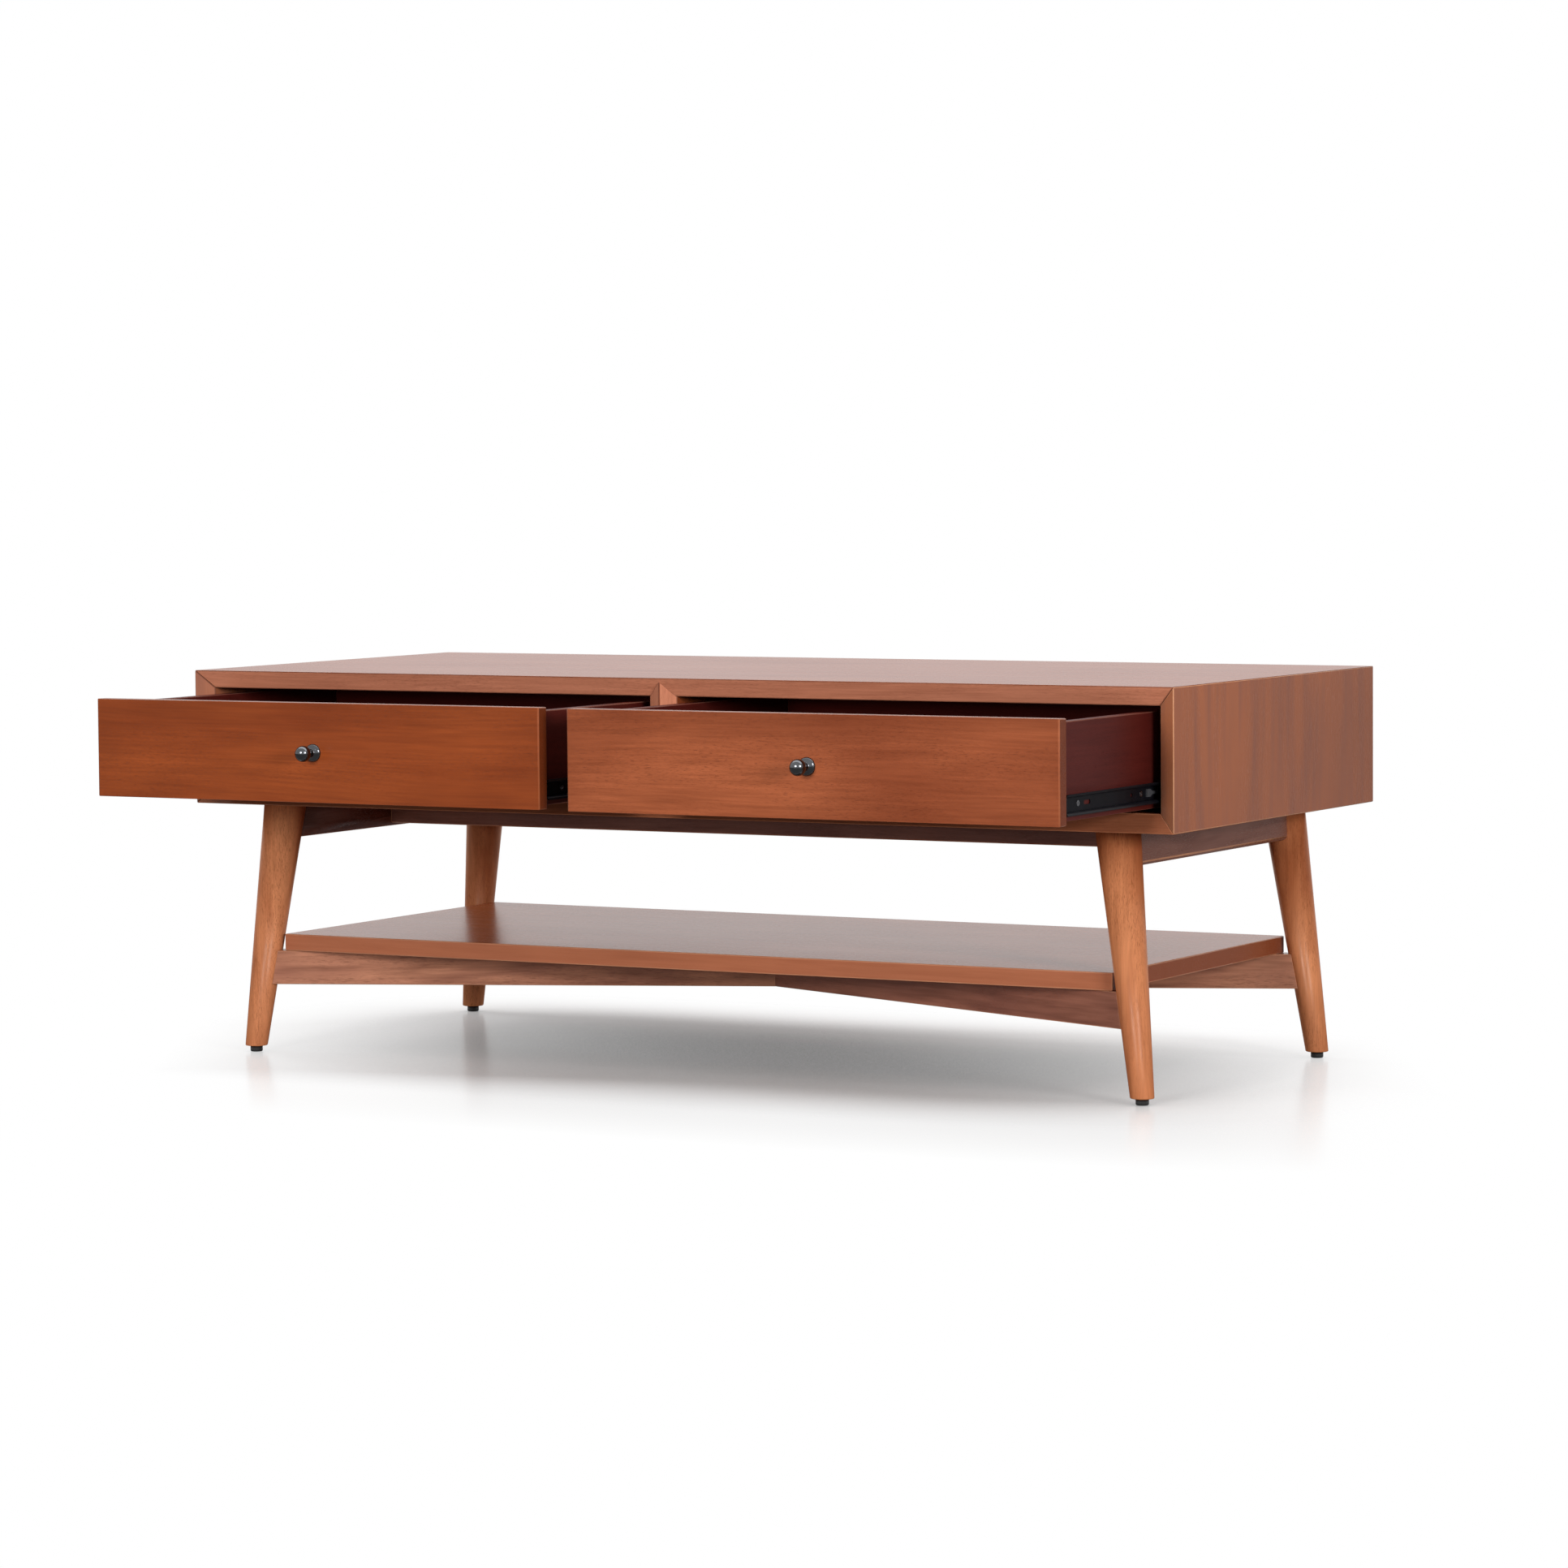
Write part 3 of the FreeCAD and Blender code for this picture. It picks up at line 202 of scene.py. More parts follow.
class SharedEffects:
    """Shader node groups that several finishes use, each built once."""

    def __init__(self) -> None:
        """Start with no group built."""
        self.built: Dict[str, bpy.types.NodeTree] = {}

    def start(self, name: str, inputs: Dict[str, str], outputs: Iterable[str]) -> Tuple[Graph, Any, Any]:
        """Open a new group.

        Args:
            name: name of the group.
            inputs: kind of each input socket, Vector or Float, by its name.
            outputs: names of the outputs, all plain values.

        Returns:
            The graph of the group, its input node and its output node.
        """
        tree = bpy.data.node_groups.new(name, "ShaderNodeTree")
        for socket, kind in inputs.items():
            tree.interface.new_socket(name=socket, in_out="INPUT", socket_type="NodeSocket" + kind)
        for socket in outputs:
            tree.interface.new_socket(name=socket, in_out="OUTPUT", socket_type="NodeSocketFloat")
        graph = Graph(tree)
        self.built[name] = tree
        return graph, graph.add("NodeGroupInput"), graph.add("NodeGroupOutput")

    def wood_grain(self) -> bpy.types.NodeTree:
        """Return the group that draws growth lines, fibres, pores, flecks and uneven stain along X."""
        if "wood_grain" in self.built:
            return self.built["wood_grain"]
        outputs = ("Figure", "Fibre", "Pores", "Flecks", "Smudge", "Stain")
        graph, given, result = self.start("wood_grain", {"Vector": "Vector", "Scale": "Float"}, outputs)
        scaled = graph.add("VectorMath", {0: given.outputs["Vector"]}, operation="SCALE")
        graph.feed(scaled.inputs["Scale"], given.outputs["Scale"])
        place = scaled.outputs[0]
        sway = graph.vectors("SUBTRACT", graph.noise(place, SWAY).outputs["Color"], (0.5, 0.5, 0.5))
        wavy = graph.vectors("ADD", place, graph.vectors("MULTIPLY", sway, SWAY_REACH))
        growth = graph.maths("MULTIPLY", graph.noise(wavy, GROWTH).outputs[0], GROWTH_LINES)
        graph.feed(result.inputs["Figure"], graph.span(graph.maths("SINE", growth), -1.0, 1.0))
        patch = graph.draw(wavy, PATCH)
        for output, layer in (("Pores", PORES), ("Flecks", FLECKS)):
            graph.feed(result.inputs[output], graph.maths("MULTIPLY", graph.draw(wavy, layer), patch))
        for output, vector, layer in (("Fibre", wavy, FIBRE), ("Smudge", wavy, SMUDGE), ("Stain", place, STAIN)):
            graph.feed(result.inputs[output], graph.draw(vector, layer))
        return self.built["wood_grain"]

    def edge_wear(self) -> bpy.types.NodeTree:
        """Return the group that says how far the eased edges take a tone of their own: wear, and on wooden pieces
        also painted highlight and painted shade.
        """
        if "edge_wear" in self.built:
            return self.built["edge_wear"]
        graph, given, result = self.start("edge_wear", {"Vector": "Vector", "Amount": "Float"}, ("Wear",))
        edge = graph.add("Attribute", attribute_name="arris").outputs["Fac"]
        wear = graph.maths("MULTIPLY", edge, graph.draw(given.outputs["Vector"], EDGE_PATCHES, LEAST_EDGE_PATCH))
        graph.feed(result.inputs["Wear"], graph.maths("MULTIPLY", wear, given.outputs["Amount"]))
        return self.built["edge_wear"]

    def border_shade(self) -> bpy.types.NodeTree:
        """Return the group that says how far the toner darkens a panel towards its borders in X and Z."""
        if "border_shade" in self.built:
            return self.built["border_shade"]
        inputs = {"Vector": "Vector", "Middle": "Vector", "Half": "Vector"}
        graph, given, result = self.start("border_shade", inputs, ("Shade",))
        away = graph.vectors("SUBTRACT", given.outputs["Vector"], given.outputs["Middle"])
        inside = graph.vectors("SUBTRACT", given.outputs["Half"], graph.vectors("ABSOLUTE", away))
        parts = graph.add("SeparateXYZ", {0: inside}).outputs
        sides = [graph.span(parts[axis], 0.0, reach, 1.0, 0.0) for axis, reach in BORDER_REACH.items()]
        cloud = graph.draw(given.outputs["Vector"], CLOUD, LEAST_CLOUD)
        shade = graph.maths("MULTIPLY", graph.maths("MAXIMUM", *sides), cloud)
        graph.feed(result.inputs["Shade"], shade)
        return self.built["border_shade"]

    def handling(self) -> bpy.types.NodeTree:
        """Return the group that draws faint smears and a fine orange peel on metal and plastic."""
        if "handling" in self.built:
            return self.built["handling"]
        graph, given, result = self.start("handling", {"Vector": "Vector"}, ("Smear", "Peel"))
        graph.feed(result.inputs["Smear"], graph.draw(given.outputs["Vector"], SMEAR))
        graph.feed(result.inputs["Peel"], graph.noise(given.outputs["Vector"], PEEL).outputs[0])
        return self.built["handling"]


effects = SharedEffects()


def open_material(name: str) -> Tuple[bpy.types.Material, Graph]:
    """Return a new empty material and the graph of its nodes."""
    material = bpy.data.materials.new(name)
    material.use_nodes = True
    material.node_tree.nodes.clear()
    return material, Graph(material.node_tree)


def close_material(graph: Graph, inputs: Dict[str, Any]) -> None:
    """Add the shader with its inputs and link it to the output."""
    shader = graph.add("BsdfPrincipled", inputs)
    graph.add("OutputMaterial", {"Surface": shader.outputs[0]})


@dataclass(frozen=True)
class WoodFinish:
    """Stained and lacquered wood."""

    name: str
    deep: Colour
    light: Colour
    streak: Colour
    arris: Colour
    lipping: Colour
    figure: float = 0.12
    fibre: float = 0.16
    pores: float = 0.4
    flecks: float = 0.0
    smudge: float = 0.35
    wear: float = 0.7
    rough: Tuple[float, float] = (0.24, 0.28)
    relief: float = 0.05
    scale: float = 1.0
    lacquer: float = 1.31
    toner: float = 0.0
    ends: float = 0.5
    varnish: Colour = (1.0, 1.0, 1.0)
    varnish_bend: float = 1.05
    lipping_and_painted_light_dark: float = 0.8
    pore_matt: float = 0.04
    fibre_height: float = 0.4
    relief_depth: float = 0.0004

    def material(self, grain: Grain, panel: str = "") -> bpy.types.Material:
        """Make or fetch this finish with its fibres in one direction.

        Args:
            grain: direction of the fibres.
            panel: CAD node whose borders the toner darkens, if the finish has any.

        Returns:
            The material.
        """
        name = f"{self.name}_{panel or grain.name.lower()}"
        if name in bpy.data.materials:
            return bpy.data.materials[name]
        material, graph = open_material(name)
        place = graph.add("TexCoord").outputs["Object"]
        turned = graph.add("Mapping", {"Vector": place, "Rotation": grain.turn()}).outputs[0]
        wood = graph.place(effects.wood_grain(), {"Vector": turned, "Scale": self.scale})
        wear = graph.place(effects.edge_wear(), {"Vector": place, "Amount": self.wear})["Wear"]
        tone = graph.maths("MULTIPLY", wood["Figure"], self.figure)
        tone = graph.maths("ADD", tone, graph.maths("MULTIPLY", wood["Stain"], 1.0 - self.figure))
        colour = graph.mix(tone, self.deep, self.light)
        # Marked edges take a tone of their own: on the case's bevels it is painted light and painted shade; the
        # shelf's front edge takes it too.
        edging = graph.add("Attribute", attribute_name="lipping").outputs["Fac"]
        dark = [self.lipping_and_painted_light_dark * part for part in self.lipping]
        colour = graph.mix(edging, colour, graph.mix(tone, dark, self.lipping))
        ends = graph.add("Attribute", attribute_name="end_grain").outputs["Fac"]
        colour = graph.mix(graph.maths("MULTIPLY", ends, self.ends), colour, self.streak)
        colour = graph.mix(graph.maths("MULTIPLY", wood["Smudge"], self.smudge), colour, self.streak)
        colour = graph.mix(graph.span(wood["Fibre"], 0.0, 1.0, self.fibre, 0.0), colour, self.streak)
        for mark, amount in (("Pores", self.pores), ("Flecks", self.flecks)):
            colour = graph.mix(graph.maths("MULTIPLY", wood[mark], amount), colour, self.streak)
        if panel:
            low, high = (Vector(corner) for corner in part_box(panel))
            inputs = {"Vector": place, "Middle": (low + high) / 2, "Half": (high - low) / 2}
            shade = graph.place(effects.border_shade(), inputs)["Shade"]
            colour = graph.mix(graph.maths("MULTIPLY", shade, self.toner), colour, self.streak)
        # The arris tone on eased wooden edges is partly wear, partly painted highlight and painted shade along the
        # edge.
        colour = graph.mix(wear, colour, self.arris)
        rough = graph.span(wood["Stain"], 0.0, 1.0, self.rough[1], self.rough[0])
        rough = graph.maths("ADD", rough, graph.maths("MULTIPLY", wood["Pores"], self.pore_matt))
        inputs = {"Base Color": colour, "Roughness": rough, "IOR": self.lacquer}
        if self.relief:
            height = graph.maths("SUBTRACT", graph.maths("MULTIPLY", wood["Fibre"], self.fibre_height), wood["Pores"])
            bump = {"Strength": self.relief, "Distance": self.relief_depth, "Height": height}
            inputs["Normal"] = graph.add("Bump", bump).outputs[0]
        if min(self.varnish) < 1.0:
            inputs.update({"Coat Weight": 1.0, "Coat IOR": self.varnish_bend, "Coat Tint": (*self.varnish, 1.0)})
        close_material(graph, inputs)
        return material


@dataclass(frozen=True)
class HardFinish:
    """Metal or plastic with a fine surface."""

    name: str
    base: Colour
    worn: Colour
    metallic: float
    rough: Tuple[float, float]
    peel: float = 0.1
    peel_depth: float = 0.0002
    smear: float = 0.5
    wear: float = 0.8
    gloss: float = 1.5

    def material(self) -> bpy.types.Material:
        """Make or fetch this finish."""
        if self.name in bpy.data.materials:
            return bpy.data.materials[self.name]
        material, graph = open_material(self.name)
        place = graph.add("TexCoord").outputs["Object"]
        hand = graph.place(effects.handling(), {"Vector": place})
        wear = graph.place(effects.edge_wear(), {"Vector": place, "Amount": self.wear})["Wear"]
        colour = graph.mix(graph.maths("MULTIPLY", hand["Smear"], self.smear), self.base, self.worn)
        colour = graph.mix(wear, colour, self.worn)
        rough = graph.span(hand["Smear"], 0.0, 1.0, *self.rough)
        bump = {"Strength": self.peel, "Distance": self.peel_depth, "Height": hand["Peel"]}
        normal = graph.add("Bump", bump).outputs[0]
        inputs = {"Base Color": colour, "Metallic": self.metallic, "Roughness": rough, "Normal": normal}
        close_material(graph, {**inputs, "IOR": self.gloss})
        return material


LEFT_FRONT = WoodFinish(
    "left_front_wood", deep=(0.238, 0.0425, 0.0098), light=(0.445, 0.0985, 0.0242), streak=(0.13, 0.026, 0.008),
    arris=(0.46, 0.17, 0.08), lipping=(0.24, 0.06, 0.02), fibre=0.36, pores=0.5, flecks=0.1, smudge=0.2, wear=0.3,
    toner=0.32, ends=0.75)
RIGHT_FRONT = replace(
    LEFT_FRONT, name="right_front_wood", deep=(0.296, 0.069, 0.0255), light=(0.545, 0.153, 0.062))
# Painted light: the lipping tone makes the front bevels of the top and divider much lighter than the panels, to stand
# in for light on them.
CASE_WOOD = WoodFinish(
    "case_wood", deep=(0.28, 0.062, 0.02), light=(0.39, 0.1, 0.033), streak=(0.16, 0.035, 0.012),
    arris=(0.2, 0.075, 0.045), lipping=(0.84, 0.338, 0.203), figure=0.42, fibre=0.26, pores=0.35, flecks=0.12,
    smudge=0.2, wear=0.75, rough=(0.25, 0.26), relief=0.0, lacquer=1.225)
# Painted shade: the bottom's bevels take a darker lipping tone where the open drawers shade them.
BOTTOM_WOOD = replace(
    CASE_WOOD, name="bottom_wood", arris=(0.66, 0.3, 0.16), lipping=(0.46, 0.165, 0.083), wear=0.35)
# Painted highlight: the right side's light arris and lipping tones stand in for light catching its front corner.
SIDE_WOOD = WoodFinish(
    "side_wood", deep=(0.288, 0.105, 0.06), light=(0.505, 0.16, 0.067), streak=(0.222, 0.097, 0.077),
    arris=(0.74, 0.38, 0.21), lipping=(0.6, 0.215, 0.1), fibre=0.08, pores=0.12, smudge=0.55, wear=0.95, relief=0.0,
    scale=0.5)
# Painted shade: a copy of the side wood whose arris and bevels are darker because the left side's front corner lies
# in shade.
LEFT_SIDE_WOOD = replace(
    SIDE_WOOD, name="left_side_wood", arris=(0.2, 0.075, 0.045), lipping=(0.46, 0.185, 0.11))
# Painted light: the shelf's wood is much lighter than the case's, to make up for the shade that the case casts on it.
SHELF_WOOD = WoodFinish(
    "shelf_wood", deep=(0.48, 0.135, 0.053), light=(0.575, 0.165, 0.061), streak=(0.25, 0.066, 0.027),
    arris=(0.6, 0.28, 0.16), lipping=(0.48, 0.17, 0.088), figure=0.3, fibre=0.2, pores=0.2, smudge=0.2,
    rough=(0.25, 0.26), relief=0.0, lacquer=1.29, ends=0.95)
LEG_WOOD = WoodFinish(
    "leg_wood", deep=(0.45, 0.15, 0.062), light=(0.82, 0.368, 0.184), streak=(0.16, 0.04, 0.014),
    arris=(0.62, 0.26, 0.11), lipping=(0.6, 0.25, 0.1), fibre=0.2, pores=0.3, flecks=0.4, smudge=0.24,
    rough=(0.28, 0.34), relief=0.01, scale=1.7, lacquer=1.2, varnish=(0.96, 0.86, 0.78))
# Painted light: a lighter copy of the leg wood for the front left leg, which the lamps light less.
PAINTED_LIGHT_LEG = replace(LEG_WOOD, name="pale_leg_wood", deep=(0.52, 0.185, 0.082), light=(0.88, 0.41, 0.212))
BEAM_WOOD = WoodFinish(
    "beam_wood", deep=(0.24, 0.086, 0.06), light=(0.47, 0.187, 0.118), streak=(0.1, 0.03, 0.018),
    arris=(0.56, 0.27, 0.15), lipping=(0.4, 0.15, 0.08), fibre=0.25, flecks=0.3, smudge=0.5)
# Painted light: a lighter copy of the beam wood for the rising stretcher, which the lamps light less.
PAINTED_LIGHT_BEAM = replace(BEAM_WOOD, name="pale_beam_wood", deep=(0.31, 0.12, 0.085), light=(0.77, 0.36, 0.21))
# Painted shade: a darker copy of the beam wood for the rails, which lie in shade under the case.
RAIL_WOOD = replace(BEAM_WOOD, name="rail_wood", deep=(0.15, 0.062, 0.047), light=(0.3, 0.14, 0.1))
BOX_WOOD = WoodFinish(
    "box_wood", deep=(0.075, 0.0095, 0.0075), light=(0.115, 0.0175, 0.013), streak=(0.038, 0.005, 0.004),
    arris=(0.27, 0.115, 0.08), lipping=(0.2, 0.05, 0.03), figure=0.3, fibre=0.3, rough=(0.4, 0.48), lacquer=1.2)
BACK_BOARD = WoodFinish(
    "back_board", deep=(0.15, 0.05, 0.022), light=(0.22, 0.08, 0.036), streak=(0.09, 0.03, 0.014),
    arris=(0.3, 0.13, 0.07), lipping=(0.22, 0.08, 0.04), figure=0.3, flecks=0.2, rough=(0.45, 0.6))
DOWEL_WOOD = WoodFinish(
    "dowel_wood", deep=(0.5, 0.33, 0.18), light=(0.64, 0.45, 0.27), streak=(0.36, 0.22, 0.11),
    arris=(0.7, 0.52, 0.34), lipping=(0.6, 0.4, 0.24), rough=(0.5, 0.65))
SLIDE_STEEL = HardFinish(
    "slide_steel", base=(0.004, 0.004, 0.006), worn=(0.012, 0.012, 0.016), metallic=0.0, rough=(0.3, 0.42),
    gloss=1.15)
BRIGHT_STEEL = HardFinish(
    "zinc_steel", base=(0.3, 0.3, 0.32), worn=(0.52, 0.52, 0.54), metallic=1.0, rough=(0.18, 0.34))
KNOB_METAL = HardFinish(
    "knob_metal", base=(0.085, 0.088, 0.095), worn=(0.15, 0.153, 0.164), metallic=1.0, rough=(0.1, 0.14),
    peel=0.005)
BLACK_PLASTIC = HardFinish(
    "glide_plastic", base=(0.012, 0.012, 0.012), worn=(0.03, 0.03, 0.03), metallic=0.0, rough=(0.4, 0.55))
GREY_PLASTIC = HardFinish(
    "lever_plastic", base=(0.05, 0.053, 0.06), worn=(0.1, 0.105, 0.115), metallic=0.0, rough=(0.35, 0.5))

PLAIN_SLOTS = {
    "bright_steel": BRIGHT_STEEL,
    "black_steel": SLIDE_STEEL,
    "dark_metal": KNOB_METAL,
    "black_plastic": BLACK_PLASTIC,
    "grey_plastic": GREY_PLASTIC,
}


def body_name(node: str) -> str:
    """Return the body that carries a CAD node."""
    return frame["nodes"][node].parent.name.split(":", 1)[1]


def slot_name(node: str) -> str:
    """Return the record's material slot of a CAD node."""
    return frame["nodes"][node].data.materials[0].name.split(".")[0]


def finish_piece(name: str, shape: bmesh.types.BMesh, node: str, material: bpy.types.Material) -> bpy.types.Object:
    """Turn a shape into a piece that stands for a CAD node.

    Args:
        name: name of the piece.
        shape: its mesh, in place; it is freed here.
        node: the CAD node that it replaces.
        material: its finish.

    Returns:
        The new object.
    """
    mesh = bpy.data.meshes.new(name)
    shape.to_mesh(mesh)
    shape.free()
    mesh.materials.append(material)
    piece = bpy.data.objects.new(name, mesh)
    bpy.context.scene.collection.objects.link(piece)
    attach(piece, body_name(node))
    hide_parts(node)
    log.info("%s stands for %s", name, node)
    return piece


def ease_edges(shape: bmesh.types.BMesh, edges: List[bmesh.types.BMEdge], width: float, steps: int = 2) -> None:
    """Round edges over and mark the new faces as arrises.

    Args:
        shape: the mesh.
        edges: edges to round.
        width: distance of the round from the edge.
        steps: number of faces across the round.
    """
    marks = shape.faces.layers.float.get("arris") or shape.faces.layers.float.new("arris")
    made = bmesh.ops.bevel(shape, geom=edges, offset=width, offset_type="OFFSET", segments=steps, profile=0.5,
                           affect="EDGES", material=-1, clamp_overlap=True, loop_slide=True)
    for face in made["faces"]:
        face[marks] = 1.0
        face.smooth = True


def merged_copy(node: str) -> bmesh.types.BMesh:
    """Return a copy of a CAD node's mesh with its doubles merged and its flat faces whole."""
    shape = bmesh.new()
    shape.from_mesh(frame["nodes"][node].data)
    bmesh.ops.remove_doubles(shape, verts=shape.verts[:], dist=MERGE)
    bmesh.ops.dissolve_limit(shape, angle_limit=FLAT, verts=shape.verts[:], edges=shape.edges[:])
    return shape


def planed_copy(node: str, width: float, shortest: float = 0.014) -> bmesh.types.BMesh:
    """Copy a CAD node's panel and ease its long outer edges.

    Args:
        node: the CAD node.
        width: width of the eased edges.
        shortest: edges below this length, such as hole rims, stay sharp.

    Returns:
        The eased mesh.
    """
    shape = merged_copy(node)
    edges = [edge for edge in shape.edges if edge.is_manifold and edge.is_convex
             and edge.calc_length() > shortest and edge.calc_face_angle() > SHARP]
    ease_edges(shape, edges, width)
    return shape


@dataclass(frozen=True)
class LippingAndPaintedLight:
    """Edges of a panel with a tone of their own: a solid edge's stain, and on the case's bevels painted light and
    painted shade.
    """

    axis: Point
    low: float
    high: float
    amount: float

    def mark(self, shape: bmesh.types.BMesh) -> None:
        """Mark the faces that lean to the axis by a share between low and high, on either side."""
        marks = shape.faces.layers.float.new("lipping")
        for face in shape.faces:
            if self.low < abs(face.normal.dot(self.axis)) < self.high:
                face[marks] = self.amount


FRONT = (0.0, 1.0, 0.0)
# The case's bevels: their tone is painted light and painted shade.
BEVELS = LippingAndPaintedLight(FRONT, low=0.3, high=0.97, amount=0.85)
FRONT_EDGE = LippingAndPaintedLight(FRONT, low=0.9, high=1.1, amount=0.85)
END_GRAIN_LEAN = 0.9  # a face that leans along the fibres by more than this share shows end grain


def dress_panel(node: str, width: float, finish: WoodFinish, grain: Grain,
                lipping: Optional[LippingAndPaintedLight] = None) -> bpy.types.Object:
    """Replace a flat wooden CAD node by its eased copy in a finish.

    Args:
        node: the CAD node.
        width: width of the eased edges.
        finish: the wood.
        grain: direction of the fibres.
        lipping: edges of the panel with a tone of their own, if it has any.

    Returns:
        The new piece.
    """
    shape = planed_copy(node, width)
    marks = shape.faces.layers.float.new("end_grain")
    for face in shape.faces:
        face[marks] = float(abs(face.normal.dot(grain.along())) > END_GRAIN_LEAN)
    if lipping:
        lipping.mark(shape)
    return finish_piece(f"{node}_wood", shape, node, finish.material(grain, node if finish.toner else ""))


def dress_node(node: str, material: bpy.types.Material) -> None:
    """Keep a CAD node and give it a better material."""
    for slot in frame["nodes"][node].material_slots:
        slot.material = material
    log.info("%s keeps its shape", node)


@dataclass(frozen=True)
class CrossHeads:
    """Screws whose heads get a cross recess and an eased rim; sizes are shares of the head's radius."""

    reach: float = 0.56
    width: float = 0.15
    depth: float = 0.3
    taper: float = 0.7
    rim: float = 0.0003
    round_sides: int = 30

    def heads(self, shape: bmesh.types.BMesh) -> List[bmesh.types.BMFace]:
        """Return the outer face of each screw's head, which is the widest round face of the screw."""
        left, heads = set(shape.faces), []
        while left:
            todo, rounds = [left.pop()], []
            while todo:
                face = todo.pop()
                if len(face.verts) > self.round_sides:
                    rounds.append(face)
                near = {other for edge in face.edges for other in edge.link_faces} & left
                left -= near
                todo.extend(near)
            heads.append(max(rounds, key=lambda face: face.calc_area()))
        return heads

    def cut(self, shape: bmesh.types.BMesh, head: bmesh.types.BMFace) -> List[bmesh.types.BMEdge]:
        """Sink a cross into one head.

        Args:
            shape: mesh of the screws.
            head: outer face of the head.

        Returns:
            The edges of the head's rim.
        """
        centre, normal = head.calc_center_bounds(), head.normal.copy()
        radius = math.sqrt(head.calc_area() / math.pi)
        across = radius * normal.orthogonal().normalized()
        along = normal.cross(across)
        rim = head.edges[:]
        bmesh.ops.delete(shape, geom=[head], context="FACES_ONLY")
        far, near = self.reach, self.width
        arm = ((near, near), (far, near), (far, -near))
        verts = []
        for _ in range(4):
            verts += [shape.verts.new(centre + a * across + b * along) for a, b in arm]
            across, along = -along, across
        edges = [shape.edges.new(pair) for pair in zip(verts, verts[1:] + verts[:1])]
        bmesh.ops.triangle_fill(shape, edges=rim + edges, use_beauty=True, normal=normal)
        walls = bmesh.ops.extrude_edge_only(shape, edges=edges)["geom"]
        for vert in (part for part in walls if isinstance(part, bmesh.types.BMVert)):
            vert.co = centre + self.taper * (vert.co - centre) - self.depth * radius * normal
        bmesh.ops.contextual_create(shape, geom=[part for part in walls if isinstance(part, bmesh.types.BMEdge)])
        return rim

    def dress(self, node: str) -> bpy.types.Object:
        """Replace the screws of a CAD node by the same screws with cross recesses."""
        shape = merged_copy(node)
        rims = [edge for head in self.heads(shape) for edge in self.cut(shape, head)]
        bmesh.ops.recalc_face_normals(shape, faces=shape.faces[:])
        ease_edges(shape, rims, self.rim)
        return finish_piece(f"{node}_cross_heads", shape, node, PLAIN_SLOTS[slot_name(node)].material())


@dataclass
class CaseShell:
    """The mitred case with its divider, back and hidden fittings."""

    arris: float = 0.0011
    panels: Dict[str, Tuple[WoodFinish, Grain]] = field(default_factory=lambda: {
        "case_top": (CASE_WOOD, Grain.ALONG_X),
        "case_bottom": (BOTTOM_WOOD, Grain.ALONG_X),
        "case_left_side": (LEFT_SIDE_WOOD, Grain.ALONG_Z),
        "case_right_side": (SIDE_WOOD, Grain.ALONG_Z),
        "centre_divider": (CASE_WOOD, Grain.ALONG_Z),
    })

    def dress(self) -> None:
        """Dress the panels, the back and what is hidden in the joints."""
        for node, (finish, grain) in self.panels.items():
            dress_panel(node, self.arris, finish, grain, BEVELS)
        dress_panel("case_back", self.arris / 2, BACK_BOARD, Grain.ALONG_X)
        for node in ("mitre_splines", "divider_dowels"):
            dress_node(node, DOWEL_WOOD.material(Grain.ALONG_Y))


